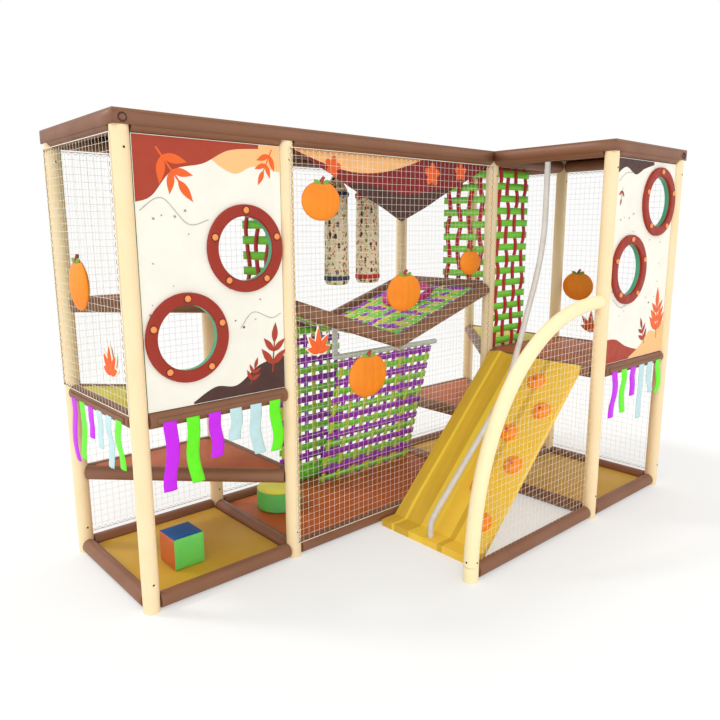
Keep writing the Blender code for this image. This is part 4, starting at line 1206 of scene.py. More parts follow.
LEFT_LAYOUT = Layout(
    hills=((1, ((0.40, -0.01), (0.52, -0.10), (0.66, -0.15), (0.80, -0.11), (1.0, -0.13))),
           (0, ((0.0, -0.30), (0.10, -0.27), (0.24, -0.15), (0.44, -0.11), (0.62, -0.04), (0.84, -0.02))),
           (3, ((0.30, 0.01), (0.46, 0.07), (0.62, 0.06), (0.80, 0.15), (1.0, 0.18)))),
    sprigs=((0.14, 1.25, 0.30, 306, 2, 2), (0.94, 1.28, 0.20, 244, 2, 2), (0.90, 0.10, 0.27, 84, 0, 2),
            (0.72, 0.05, 0.15, 70, 0, 2)),
    swags=(((0.02, 0.96), (0.16, 1.02), (0.32, 0.90), (0.46, 0.92)),
           ((0.66, 0.36), (0.76, 0.44), (0.90, 0.40), (0.98, 0.42))))

RIGHT_LAYOUT = Layout(
    hills=((3, ((0.0, -0.10), (0.14, -0.05), (0.30, -0.09), (0.44, -0.05), (0.60, -0.02))),
           (0, ((0.0, 0.16), (0.16, 0.15), (0.34, 0.09), (0.60, 0.04), (0.80, 0.01))),
           (1, ((0.40, 0.01), (0.58, 0.07), (0.74, 0.16), (0.88, 0.15), (1.0, 0.22)))),
    sprigs=((0.88, 0.10, 0.36, 94, 2, 3), (0.66, 0.08, 0.20, 112, 0, 2), (0.10, 1.12, 0.11, 262, 0, 1)),
    swags=(((0.04, 1.16), (0.14, 1.21), (0.26, 1.22)), ((0.06, 0.42), (0.20, 0.36), (0.34, 0.39))))


@dataclass
class Panels:
    """The two printed boards."""

    foil_lift: float = 0.0008
    margin: float = 0.003
    ring_reach: float = 0.19
    specks: int = 26
    seed: int = 4

    def art(self, node: str, centres: Sequence[tuple[float, float]], layout: Layout) -> None:
        """Lay the foil shapes on one board.

        Args:
            node: The CAD node of the board.
            centres: Middle of each porthole, across and up.
            layout: Where its shapes go.
        """
        low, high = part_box(node)
        piece = Piece("print_" + node, RUST_FOIL, PEACH_FOIL, LEAF_FOIL, BROWN_FOIL, GREY_FOIL)
        foil = Foil(piece, low.y - self.foil_lift, low.x + self.margin, high.x - self.margin,
                    low.z + self.margin, high.z - self.margin)
        width = foil.right - foil.left
        for slot, outline in layout.hills:
            foil.hill(outline, slot)
        for share, height, length, turn, slot, pairs in layout.sprigs:
            foil.sprig(share, foil.low + height, length, turn, slot, pairs)
        for swag in layout.swags:
            foil.line([(foil.left + width * u, foil.low + v) for u, v in swag], 0.0028, 4)
        draw = random.Random(self.seed)
        for _ in range(self.specks):
            x = foil.left + width * draw.uniform(0.04, 0.96)
            z = foil.low + (foil.high - foil.low) * draw.uniform(0.2, 0.76)
            foil.disc(x, z, draw.choice((0.003, 0.004, 0.006)), draw.choice((3, 4)))
        inside = [face for face in piece.builder.faces
                  if any(math.hypot(face.calc_center_median().x - x, face.calc_center_median().z - z)
                         < self.ring_reach for x, z in centres)]
        bmesh.ops.delete(piece.builder, geom=inside, context="FACES")
        piece.close("board_white")

    def build(self) -> None:
        """Dress and print both boards."""
        for side, layout in (("left", LEFT_LAYOUT), ("right", RIGHT_LAYOUT)):
            dress_node("panel_" + side, BOARD_LAMINATE)
            self.art("panel_" + side, Portholes.centres(side), layout)


@dataclass
class Portholes:
    """Moulded rings through the boards."""

    outer: float = 0.225
    bore: float = 0.165
    wall: float = 0.012
    flange: float = 0.020
    round_over: float = 0.008
    half_board: float = 0.015
    buttons: int = 5
    button: float = 0.019

    @staticmethod
    def centres(side: str) -> list[tuple[float, float]]:
        """Find the two rings on one board.

        Args:
            side: Which board.

        Returns:
            Middle of each ring, across and up.
        """
        found = []
        for which in ("low", "high"):
            low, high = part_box(f"porthole_{side}_{which}")
            found.append(((low.x + high.x) / 2, (low.z + high.z) / 2))
        return found

    def ring(self, node: str) -> None:
        """Build one ring with its liner and caps.

        Args:
            node: The CAD node that it stands for.
        """
        low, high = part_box(node)
        centre = Vector(((low.x + high.x) / 2, high.y - self.half_board, (low.z + high.z) / 2))
        piece = Piece("ring_" + node, RING_PLASTIC, TEAL_PLASTIC, BUTTON_PLASTIC, BLACK_PLASTIC)
        seat = Matrix.Translation(centre) @ Matrix.Rotation(math.pi / 2, 4, "X")
        back = self.half_board + SEAT
        face = back + self.flange
        curve = [(self.round_over * (1 - math.cos(angle)), face - self.round_over * (1 - math.sin(angle)))
                 for angle in (math.pi / 10 * step for step in range(6))]
        profile = [(self.bore + self.wall, back), (self.outer, back)]
        profile += [(self.outer - inward, height) for inward, height in curve]
        profile += [(self.bore + inward, height) for inward, height in reversed(curve)]
        profile += [(self.bore, back - 0.001), (self.bore + self.wall, back - 0.001),
                    (self.bore + self.wall, back)]
        piece.lathe(profile, seat, 72, 0)
        liner = [(self.bore, back - 0.002), (self.bore, -self.half_board),
            (self.bore + self.wall, -self.half_board), (self.bore + self.wall, back - 0.002),
            (self.bore, back - 0.002)]
        piece.lathe(liner, seat, 72, 1)
        middle = (self.outer + self.bore) / 2
        for index in range(self.buttons):
            angle = math.pi / 2 + 2 * math.pi * index / self.buttons
            where = seat @ Matrix.Translation((middle * math.cos(angle), middle * math.sin(angle), face))
            self.cap(piece, where)
        piece.close("ring_red", node)

    def cap(self, piece: Piece, seat: Matrix) -> None:
        """Set one domed cap on a thin dark ring.

        Args:
            piece: The mesh to add to.
            seat: Where it goes, with z away from the ring.
        """
        piece.lathe([(self.button, -0.001), (self.button + 0.002, 0.0006), (self.button - 0.002, 0.0012)],
                    seat, 20, 3)
        piece.lathe([(self.button - 0.002, 0.0), (self.button - 0.003, 0.004), (self.button * 0.6, 0.0085),
                     (0, 0.0095)], seat, 20, 2)

    def build(self) -> None:
        """Build the four rings."""
        for side in ("left", "right"):
            for which in ("low", "high"):
                self.ring(f"porthole_{side}_{which}")


@dataclass
class Weave:
    """Straps woven over and under each other on a surface.

    seat gives the world point at metres along, metres across and metres off the surface.
    """

    seat: Callable[[float, float, float], Vector]
    length: float
    breadth: float
    columns: int
    rows: int
    column_width: float
    row_width: float
    lift: float = 0.0026
    snake: float = 0.0
    snake_pitch: float = 0.3
    finer: int = 4

    def weave(self, piece: Piece, column_slots: Sequence[int], row_slots: Sequence[int],
              gone: Callable[[Vector], bool] | None = None) -> None:
        """Add the straps to a piece.

        Args:
            piece: The mesh to add to.
            column_slots: Finishes of the straps that run along, in turn.
            row_slots: Finishes of the straps that run across, in turn.
            gone: Says which places are left open.
        """
        along_pitch = self.length / self.rows
        across_pitch = self.breadth / self.columns
        for index in range(self.columns):
            middle = (index + 0.5) * across_pitch
            sign = (-1) ** index

            def column(u: float, v: float) -> Vector:
                """Find a point of a strap that runs along.

                Args:
                    u: Share across.
                    v: Share along.

                Returns:
                    The point.
                """
                along = v * self.length
                over = self.lift * sign * math.sin(math.pi * along / along_pitch)
                sway = self.snake * math.sin(2 * math.pi * along / self.snake_pitch + index * 1.9)
                return self.seat(along, middle + sway + (u - 0.5) * self.column_width, over)

            piece.sheet(1, self.rows * self.finer, (self.column_width, self.length), column,
                        column_slots[index % len(column_slots)], gone)
        for index in range(self.rows):
            middle = (index + 0.5) * along_pitch
            sign = -(-1) ** index

            def row(u: float, v: float) -> Vector:
                """Find a point of a strap that runs across.

                Args:
                    u: Share across.
                    v: Share along.

                Returns:
                    The point.
                """
                across = v * self.breadth
                over = self.lift * sign * math.sin(math.pi * across / across_pitch)
                return self.seat(middle + (u - 0.5) * self.row_width, across, over)

            piece.sheet(1, self.columns * self.finer, (self.row_width, self.breadth), row,
                        row_slots[index % len(row_slots)], gone)


@dataclass
class CrawlDeck:
    """The V-shaped woven deck with its rails, ring and end beam."""

    sleeve: Sleeve
    apex_along: float = 0.87
    apex_level: float = 1.20
    ring_along: float = 1.49
    ring_across: float = 0.52
    ring_radius: float = 0.17
    ring_tube: float = 0.026
    strap: float = 0.043
    strap_lift: float = 0.0055
    thickness: float = 0.003

    def line(self, along: float, across: float) -> Vector:
        """Find a point on the centre line of a rail.

        Args:
            along: Distance from the first bay's posts.
            across: Distance from the front.

        Returns:
            The point.
        """
        top = 3 * DECK_RISE
        if along < self.apex_along:
            share = along / self.apex_along
        else:
            share = (2 * CELL - along) / (2 * CELL - self.apex_along)
        return spot(1, 0, top + (self.apex_level - top) * share) + RIGHT * along + BACK * across

    def slopes(self) -> list[tuple[Vector, Vector, Vector, float]]:
        """Measure the two slopes.

        Returns:
            Start, direction, normal and length of the left and of the right one.
        """
        seat = BEAM_RADIUS + SEAT
        found = []
        for first, last in ((seat, self.apex_along), (self.apex_along, 2 * CELL - seat)):
            start = self.line(first, 0)
            run = self.line(last, 0) - start
            ahead = run.normalized()
            found.append((start, ahead, Vector((-ahead.z, 0, ahead.x)), run.length))
        return found

    def rail(self, node: str, across: float) -> None:
        """Build one bent rail.

        Args:
            node: The CAD node that it stands for.
            across: Distance from the front.
        """
        piece = Piece("sleeve_" + node, BEAM_VINYL)
        bend = self.apex_along
        route = [self.line(along, across) for along in (BEAM_END, 0.35, 0.60, bend - 0.05, bend,
                                                        bend + 0.05, 1.25, 1.50, 2 * CELL - BEAM_END)]
        fine = []
        for start, end in zip(route, route[1:]):
            fine += between(start, end, 4)[:-1]
        fine.append(route[-1])
        piece.tube(fine, BEAM_RADIUS, 28)
        piece.close("brown_foam", node)

    def deck(self) -> None:
        """Build the woven straps round the opening."""
        left, right = self.slopes()
        edge = BEAM_RADIUS + SEAT
        total = left[3] + right[3]
        breadth = CELL - 2 * edge

        def seat(along: float, across: float, off: float) -> Vector:
            """Find a point on the two slopes, or off them.

            Args:
                along: Distance along them.
                across: Distance across.
                off: Distance off them.

            Returns:
                The point.
            """
            start, ahead, normal, _ = left
            travelled = along
            if along > left[3]:
                start, ahead, normal, _ = right
                travelled -= left[3]
            return start + ahead * travelled + BACK * (edge + across) + normal * off

        centre, _ = self.ring_seat()
        piece = Piece("woven_crawl_deck", PURPLE_STRAP, GREEN_STRAP, YELLOW_STRAP)
        weave = Weave(seat, total, breadth, 13, 30, self.strap, self.strap)
        weave.weave(piece, (0, 1, 2), (1, 0, 2, 1),
                    lambda point: (point - centre).length < self.ring_radius - 0.01)
        piece.close("strap_purple", "crawl_weave", thickness=self.thickness)

    def ring_seat(self) -> tuple[Vector, Vector]:
        """Middle and normal of the opening."""
        return self.line(self.ring_along, self.ring_across), self.slopes()[1][2]

    def ring(self) -> None:
        """Build the padded ring, wound with its cover."""
        centre, normal = self.ring_seat()
        lift = self.strap_lift + SEAT + self.ring_tube
        turn = UP.rotation_difference(normal).to_matrix().to_4x4()
        piece = Piece("padded_ring", MAGENTA_VINYL)
        verts = piece.hoop(Matrix.Identity(4), self.ring_radius, self.ring_tube, 96, 16)
        for vert in verts:
            angle = math.atan2(vert.co.y, vert.co.x)
            core = Vector((math.cos(angle), math.sin(angle), 0)) * self.ring_radius
            pinch = 1 - 0.07 * math.cos(angle * 12) ** 16
            vert.co = core + (vert.co - core) * pinch
        bmesh.ops.transform(piece.builder, matrix=Matrix.Translation(centre + normal * lift) @ turn,
            verts=verts)
        piece.close("ring_magenta", "crawl_ring")

    def build(self) -> None:
        """Build the deck."""
        self.rail("crawl_rail_front", 0.0)
        self.rail("crawl_rail_back", CELL)
        piece = Piece("sleeve_crawl_end_beam", BEAM_VINYL)
        top = UP * 3 * DECK_RISE
        self.sleeve.lay(piece, spot(3, 0) + top + BACK * BEAM_END, spot(3, 1) + top - BACK * BEAM_END,
            BEAM_RADIUS)
        piece.close("brown_foam", "crawl_end_beam")
        self.deck()
        self.ring()


@dataclass
class WovenWall:
    """The leaning woven wall under the crawl deck."""

    top_level: float = 1.030
    foot_level: float = 0.047
    top_depth: float = 0.45
    foot_depth: float = 0.70
    left: float = 1.64
    right: float = 2.59
    thickness: float = 0.003
    column_strap: float = 0.036
    row_strap: float = 0.048
    rear_pitch: float = 0.073
    strap_room: float = 0.020
    hem: float = 0.10

    def build(self) -> None:
        """Build the wall on its pipe."""
        dress_node("wall_pipe", PIPE_COAT)
        top = spot(0, 0, self.top_level) + RIGHT * self.left + BACK * self.top_depth
        foot = spot(0, 0, self.foot_level) + RIGHT * self.left + BACK * self.foot_depth
        down = (foot - top).normalized()
        normal = RIGHT.cross(down)
        breadth = self.right - self.left

        def seat(along: float, across: float, off: float) -> Vector:
            """Point on the leaning wall, or off it."""
            return top + down * along + RIGHT * across + normal * off

        piece = Piece("woven_wall", PURPLE_STRAP, GREEN_STRAP, LIME_STRAP)
        weave = Weave(seat, (foot - top).length, breadth, 13, 14, self.column_strap, self.row_strap)
        weave.weave(piece, (2, 0), (0, 1))
        piece.close("strap_purple", "wall_weave", thickness=self.thickness)
        self.rear()

    def rear(self) -> None:
        """Build the upright panel behind, cut along the underside of the crawl deck."""
        low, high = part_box("rear_weave")
        deck = CrawlDeck(Sleeve())
        middle = BACK * ((low.y + high.y) / 2)
        foot = Vector((low.x, 0, low.z)) + middle

        def seat(along: float, across: float, off: float) -> Vector:
            """Point on the upright panel, or off it."""
            return foot + UP * along + RIGHT * across + BACK * off

        def above(point: Vector) -> bool:
            """Say whether a point lies above the cut along the deck."""
            return point.z > deck.line(point.x - spot(1, 0).x, 0).z - self.strap_room

        breadth, length = high.x - low.x, high.z - low.z
        piece = Piece("woven_rear_panel", PURPLE_STRAP, GREEN_STRAP, LIME_STRAP)
        weave = Weave(seat, length, breadth, 8, round(length / self.rear_pitch), self.column_strap,
            self.row_strap)
        weave.weave(piece, (2, 0), (0, 1), above)
        piece.sheet(2, 16, (self.hem, breadth), lambda u, v: seat(self.hem * u, breadth * v, -0.006), 1)
        piece.close("strap_purple", "rear_weave", thickness=self.thickness)


@dataclass
class Curtains:
    """Wavy red straps woven with level green ones."""

    width: float = 0.40
    strap: float = 0.040
    row_strap: float = 0.048
    row_pitch: float = 0.085
    thickness: float = 0.003

    def curtain(self, node: str, start: Vector, run: Vector, bottom: float) -> None:
        """Hang one curtain beside a post.

        Args:
            node: The CAD node that it stands for.
            start: Grid point of the post.
            run: The way it runs from the post.
            bottom: Height of its lower edge.
        """
        first = start + run * BEAM_END
        off_way = run.cross(UP)

        def seat(along: float, across: float, off: float) -> Vector:
            """Point on the curtain, or off it."""
            return first + run * across + off_way * off + UP * (ROOF_UNDERSIDE - along)

        length = ROOF_UNDERSIDE - bottom - SEAT
        rows = round(length / self.row_pitch)
        piece = Piece("woven_" + node, RED_STRAP, GREEN_STRAP)
        weave = Weave(seat, length, self.width, 4, rows, self.strap, self.row_strap, snake=0.014,
            snake_pitch=0.34)
        weave.weave(piece, (0,), (1,))
        piece.close("strap_red", node, thickness=self.thickness)

    def build(self) -> None:
        """Hang the three curtains."""
        seat = BEAM_RADIUS + SEAT
        self.curtain("curtain_platform", spot(3, 0), RIGHT, 2 * DECK_RISE + seat)
        self.curtain("curtain_crawl", spot(3, 0), BACK, 3 * DECK_RISE + seat)
        self.curtain("curtain_step", spot(1, 0), BACK, 3 * DECK_RISE + seat)


@dataclass
class Pennant:
    """The three-cornered printed cloth under the roof of the middle bay."""

    half: float = CELL - BEAM_END - 0.020
    drop: float = 0.385
    edge: float = 0.010
    fold: float = 0.010
    folds: int = 4
    thickness: float = 0.003
    leaves: tuple[tuple[float, float, float], ...] = ((0.16, 0.20, 0.060), (0.66, 0.22, 0.075),
        (0.83, 0.14, 0.060))

    def seat(self, u: float, v: float) -> Vector:
        """Find a point on the cloth.

        Args:
            u: Share across.
            v: Share down.

        Returns:
            The point.
        """
        side = 2 * u - 1
        fullness = 1 - abs(side)
        fold = self.fold * math.cos(math.pi * self.folds * side) * fullness * v
        deep = self.edge + (self.drop - self.edge) * fullness
        return spot(2, 0, ROOF_UNDERSIDE - deep * v) + RIGHT * self.half * side + BACK * fold

    def build(self) -> None:
        """Hang the cloth, printed in areas of colour."""
        piece = Piece("cloth_pennant", PEACH_CLOTH, MAROON_CLOTH, BROWN_CLOTH, LEAF_CLOTH)
        verts = piece.sheet(220, 70, (2 * self.half, self.drop), self.seat)
        for face in piece.dress(verts, 0):
            middle = sum((loop[piece.cloth].uv for loop in face.loops), Vector((0, 0))) / 4
            u, v = middle.x / (2 * self.half), middle.y / self.drop
            deep = v * (1 - abs(2 * u - 1))
            face.material_index = self.area(u, deep)
        item = piece.close("pennant_peach", "pennant", thickness=self.thickness)

    def area(self, u: float, deep: float) -> int:
        """Choose the finish of a place.

        Args:
            u: Share across.
            deep: Share of the full drop.

        Returns:
            Number of the finish.
        """
        for across, down, size in self.leaves:
            x, y = (u - across) * 2 * self.half, (deep - down) * self.drop
            if math.hypot(x, y) < size * (0.55 + 0.45 * abs(math.cos(2.5 * math.atan2(y, x) + across))):
                return 3
        if deep > 0.50 + 0.07 * math.sin(13 * u + 1.0):
            return 2
        return 1 if deep > 0.27 * math.sin(5.2 * u) else 0


@dataclass
class Ribbons:
    """Satin ribbons on the deck beams."""

    width: float = 0.072
    header: float = 0.030
    thickness: float = 0.0015
    wave: float = 0.007
    gap: float = 0.002

    def fringe(self, node: str, start: Vector, run: Vector, outward: Vector, drops: Sequence[float]) -> None:
        """Hang one row of ribbons.

        Args:
            node: The CAD node that it stands for.
            start: Grid point at deck level where the row begins.
            run: Direction along the beam.
            outward: Direction away from the frame.
            drops: Length of each ribbon.
        """
        inset = BEAM_END + 0.030
        length = CELL - 2 * inset
        first = start + run * inset + outward * (BEAM_RADIUS + SEAT + self.gap)
        piece = Piece("ribbon_" + node, PURPLE_RIBBON, GREEN_RIBBON, BLUE_RIBBON, BROWN_RIBBON)
        piece.sheet(24, 2, (length, self.header),
                    lambda u, v: first + run * length * u + UP * self.header * (0.5 - v), 3)
        for index, drop in enumerate(drops):
            where = first + run * (length * (index + 0.5) / len(drops)) - UP * self.header * 0.3
            slot = (0, 1, 0, 2, 2, 1)[index] if outward.y < 0 else (1, 2, 2, 0, 1, 0)[index]

            def ribbon(u: float, v: float) -> Vector:
                """Find a point of a ribbon.

                Args:
                    u: Share across.
                    v: Share down.

                Returns:
                    The point.
                """
                swing = self.wave * max(math.sin(1.5 * math.pi * v + index), -0.3) * min(1.0, 4 * v)
                cup = 0.006 * math.sin(math.pi * u) * v
                sway = 0.018 * math.sin(1.7 * math.pi * v + index * 2.1) * v
                return (where + run * (self.width * (u - 0.5) + sway) - UP * drop * v
                        + outward * (swing + cup + 0.0012))

            piece.sheet(8, 30, (self.width, drop), ribbon, slot)
        item = piece.close("ribbon_purple", node, thickness=self.thickness)

    def build(self) -> None:
        """Hang the three rows."""
        deck = 2 * DECK_RISE
        self.fringe("ribbons_left", spot(0, 0, deck), BACK, -RIGHT, (0.25, 0.28, 0.20, 0.17, 0.33, 0.37))
        self.fringe("ribbons_front", spot(0, 0, deck), RIGHT, -BACK, (0.36, 0.35, 0.24, 0.17, 0.28, 0.29))
        self.fringe("ribbons_right", spot(3, -1, deck), RIGHT, -BACK, (0.31, 0.30, 0.20, 0.38, 0.22, 0.24))


@dataclass
class PunchBags:
    """Two stuffed bags on short links under the roof."""

    radius: float = 0.0825
    bottom: float = 1.55
    shoulder: float = 2.17
    top: float = 2.278

    def bag(self, side: str, ring_finish: Finish) -> None:
        """Build one bag with its seams and end rings.

        Args:
            side: Which bag.
            ring_finish: Finish of its end rings.
        """
        node = "punch_bag_" + side
        low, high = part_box(node)
        centre = Vector(((low.x + high.x) / 2, (low.y + high.y) / 2, 0))
        piece = Piece("stuffed_" + node, BAG_CANVAS, ring_finish, STEEL_COAT)
        body = [(0.0, self.bottom), (self.radius - 0.022, self.bottom),
                (self.radius - 0.008, self.bottom + 0.006), (self.radius - 0.003, self.bottom + 0.02)]
        for step in range(1, 24):
            share = step / 24
            sag = 0.0025 * math.cos(math.pi * share) + 0.0012 * math.sin(14 * share)
            rise = (self.shoulder - self.bottom - 0.03) * share
            body.append((self.radius - 0.003 + sag, self.bottom + 0.02 + rise))
        body += [(self.radius - 0.006, self.shoulder - 0.004), (0.05, self.shoulder + 0.045),
                 (0.022, self.top - 0.022), (0.012, self.top - 0.004), (0.0, self.top - 0.002)]
        verts = piece.lathe(body, Matrix.Translation(centre), 40, 0)
        for vert in verts:
            offset = vert.co - centre
            angle = math.atan2(offset.y, offset.x)
            reach = math.hypot(offset.x, offset.y)
            if reach > 0.06 and self.bottom + 0.03 < offset.z < self.shoulder:
                factor = 1 - 0.018 * math.cos(angle * 2) ** 40
                vert.co.x = centre.x + offset.x * factor
                vert.co.y = centre.y + offset.y * factor
        for level in (self.bottom + 0.045, self.shoulder - 0.030):
            seat = Matrix.Translation(centre + UP * level)
            piece.lathe([(self.radius - 0.004, -0.016), (self.radius + 0.002, -0.014),
                         (self.radius + 0.0045, 0.0), (self.radius + 0.002, 0.014),
                         (self.radius - 0.004, 0.016)], seat, 40, 1)
        item = piece.close("bag_cream", node, body="bag_" + side)
        dress_node("bag_hanger_" + side, STEEL_COAT)

    def build(self) -> None:
        """Build both bags."""
        self.bag("left", NAVY_VINYL)
        self.bag("right", RED_VINYL)


@dataclass
class ArchBay:
    """Slide, climbing ramp, handrail and padded arch."""

    reach: float = 1.25
    slide_reach: float = 1.13
    slide_thick: float = 0.045
    ridge: float = 0.014
    ridges: int = 2
    # painted shade: depths in front of the main row whose faces take the darker slide finish
    painted_shade_bands: tuple[tuple[float, float], ...] = ((0.0, 0.150), (0.172, 0.300), (0.540, 0.580))
    split: float = 0.420
    back_gap: float = 0.060
    front_gap: float = 0.100
    toe: float = 0.12
    grips: int = 6
    grip_rows: tuple[float, float] = (0.27, 0.65)
    grip_first: float = 0.12
    grip_pitch: float = 0.15
    grip_radius: float = 0.06325
    grip_height: float = 0.041
    arch_top: float = 1.46
    fullness: float = 2.3

    def slope(self, share: float, depth: float, lift: float = 0.0) -> Vector:
        """Find a point on the straight slope.

        Args:
            share: Share of the way up from the toe.
            depth: Distance in front of the main row.
            lift: Height above the slope.

        Returns:
            The point.
        """
        top_along = 3 * CELL - BEAM_RADIUS - SEAT
        toe_along = 3 * CELL - self.slide_reach + self.toe
        top_level = 2 * DECK_RISE + 0.035
        along = toe_along + (top_along - toe_along) * share
        level = self.slide_thick + (top_level - self.slide_thick) * share + lift
        return spot(0, 0, level) + RIGHT * along - BACK * depth

    def ripple(self, share: float) -> float:
        """Height of the lengthwise ridges at a share of the slide's width from the back."""
        return self.ridge * (1 - math.cos(2 * math.pi * self.ridges * share)) / 2

    def shaded(self, face: BMFace) -> bool:
        """Say whether a face lies in one of the bands of painted shade."""
        depth = MAIN_FRONT - face.calc_center_median().y
        return any(start < depth < end for start, end in self.painted_shade_bands)

    def slide(self) -> None:
        """Build the sliding half with its ridges."""
        piece = Piece("moulded_slide", SLIDE_PLASTIC, SLIDE_SHADE_PLASTIC)
        self.half(piece, self.back_gap, self.split, (48, 60), 1, self.slide_thick * 1.3)
        piece.close("slide_yellow", "slide_bed", angle=30)

    def half(self, piece: Piece, back: float, front: float, grid: tuple[int, int], dark: int,
             thick: float) -> None:
        """Mould one half of the bed, with ridges where it is the slide.

        Args:
            piece: The mesh to add to.
            back: Distance of its back edge in front of the main row.
            front: The same of its front edge.
            grid: Faces across and along.
            dark: Number of the finish of its bands of painted shade.
            thick: Its height.
        """
        ridged = back == self.back_gap

        def upper(u: float, v: float) -> Vector:
            """Find a point of the upper face, which has a level toe.

            Args:
                u: Share across.
                v: Share up.

            Returns:
                The point.
            """
            depth = back + (front - back) * u
            share = (v - 0.1) / 0.9
            if share < 0:
                return self.slope(0.0, depth) + RIGHT * (self.toe * share / 0.111 * 0.99)
            return self.slope(share, depth, self.ripple(u) * min(1.0, share * 12) if ridged else 0.0)

        faces = piece.dress(piece.sheet(*grid, (front - back, 1.5), upper), 0)
        for face in faces:
            # painted shade: faces in the shade bands take the darker finish
            face.material_index = dark * int(self.shaded(face))
        grown = bmesh.ops.extrude_face_region(piece.builder, geom=list(faces))["geom"]
        for vert in [item for item in grown if isinstance(item, BMVert)]:
            vert.co.z = max(SEAT, vert.co.z - thick)

    def ramp(self) -> None:
        """Build the climbing half with its pumpkin-shaped grips."""
        front = CELL - self.front_gap
        width = front - self.split - SEAT
        piece = Piece("moulded_ramp", RAMP_PLASTIC, PUMPKIN_PLASTIC, STEM_PLASTIC, SLIDE_SHADE_PLASTIC)
        self.half(piece, self.split + SEAT, front, (38, 40), 3, self.slide_thick)
        ahead = (self.slope(1, 0) - self.slope(0, 0)).normalized()
        tilt = RIGHT.rotation_difference(ahead).to_matrix().to_4x4()
        for index in range(self.grips):
            depth = front - width * self.grip_rows[index % 2]
            centre = self.slope(self.grip_first + self.grip_pitch * index, depth)
            self.pumpkin(piece, Matrix.Translation(centre) @ tilt)
        piece.close("climb_ochre", "climbing_ramp")

    def pumpkin(self, piece: Piece, seat: Matrix) -> None:
        """Set one ribbed pumpkin with a stem on a slope.

        Args:
            piece: The mesh to add to.
            seat: Where it goes, with z off the slope.
        """
        radius, height = self.grip_radius, self.grip_height
        verts = piece.dome(Vector(), Vector((radius, radius, height)), 40, 1)
        for vert in verts:
            angle = math.atan2(vert.co.y, vert.co.x)
            groove = 1 - 0.11 * abs(math.sin(angle * 4.5)) ** 6
            dip = 1 - 0.25 * math.exp(-(math.hypot(vert.co.x, vert.co.y) / (0.3 * radius)) ** 2)
            vert.co = Vector((vert.co.x * groove, vert.co.y * groove, vert.co.z * dip))
        bmesh.ops.transform(piece.builder, matrix=seat, verts=verts)
        path = [seat @ Vector((0.0, 0, height * 0.6)), seat @ Vector((0.003, 0, height * 0.95)),
                seat @ Vector((0.010, 0.002, height * 1.12))]
        piece.tube(path, 0.009, 8, 2, (1.3, 0.8, 0.65))

    def arch(self) -> None:
        """Build the padded arch."""
        floor = STUB_HEIGHT + SEAT
        foot = spot(3, -1, 0) - RIGHT * self.reach
        path = [foot + UP * floor]
        steps = 48
        for step in range(1, steps + 1):
            angle = math.pi / 2 * step / steps
            along = -self.reach * math.cos(angle) ** (2 / self.fullness)
            level = self.arch_top * math.sin(angle) ** (2 / self.fullness)
            if level > floor + 0.02:
                path.append(spot(3, -1, level) + RIGHT * min(along, -BEAM_END))
        piece = Piece("padded_arch", ARCH_VINYL, BLACK_PLASTIC)
        piece.tube(path, BEAM_RADIUS, 28)
        for towards in (-BACK, -RIGHT, RIGHT):
            piece.bolt(foot + UP * (floor + 0.03), towards, BEAM_RADIUS, 1)
        piece.close("arch_cream", "arch_tube")

    def rail(self) -> None:
        """Build the bent steel handrail."""
        bends = [(0.0, ROOF_UNDERSIDE), (0.0, 2.10), (0.010, 1.85), (0.070, 1.60), (0.160, 1.36),
                 (0.240, 1.15), (0.340, 0.93), (0.520, 0.70), (0.900, 0.33), (1.060, 0.17), (1.085, 0.10)]
        points = [spot(3, -0.5, level) - RIGHT * reach for reach, level in bends]
        path = smooth_path(points, 6) + [spot(3, -0.5, self.slide_thick + SEAT) - RIGHT * 1.085]
        piece = Piece("steel_handrail", RAIL_COAT)
        piece.tube(path, 0.019, 20)
        piece.close("pipe_grey", "handrail")

    def build(self) -> None:
        """Build the bay."""
        self.slide()
        self.ramp()
        self.arch()
        self.rail()


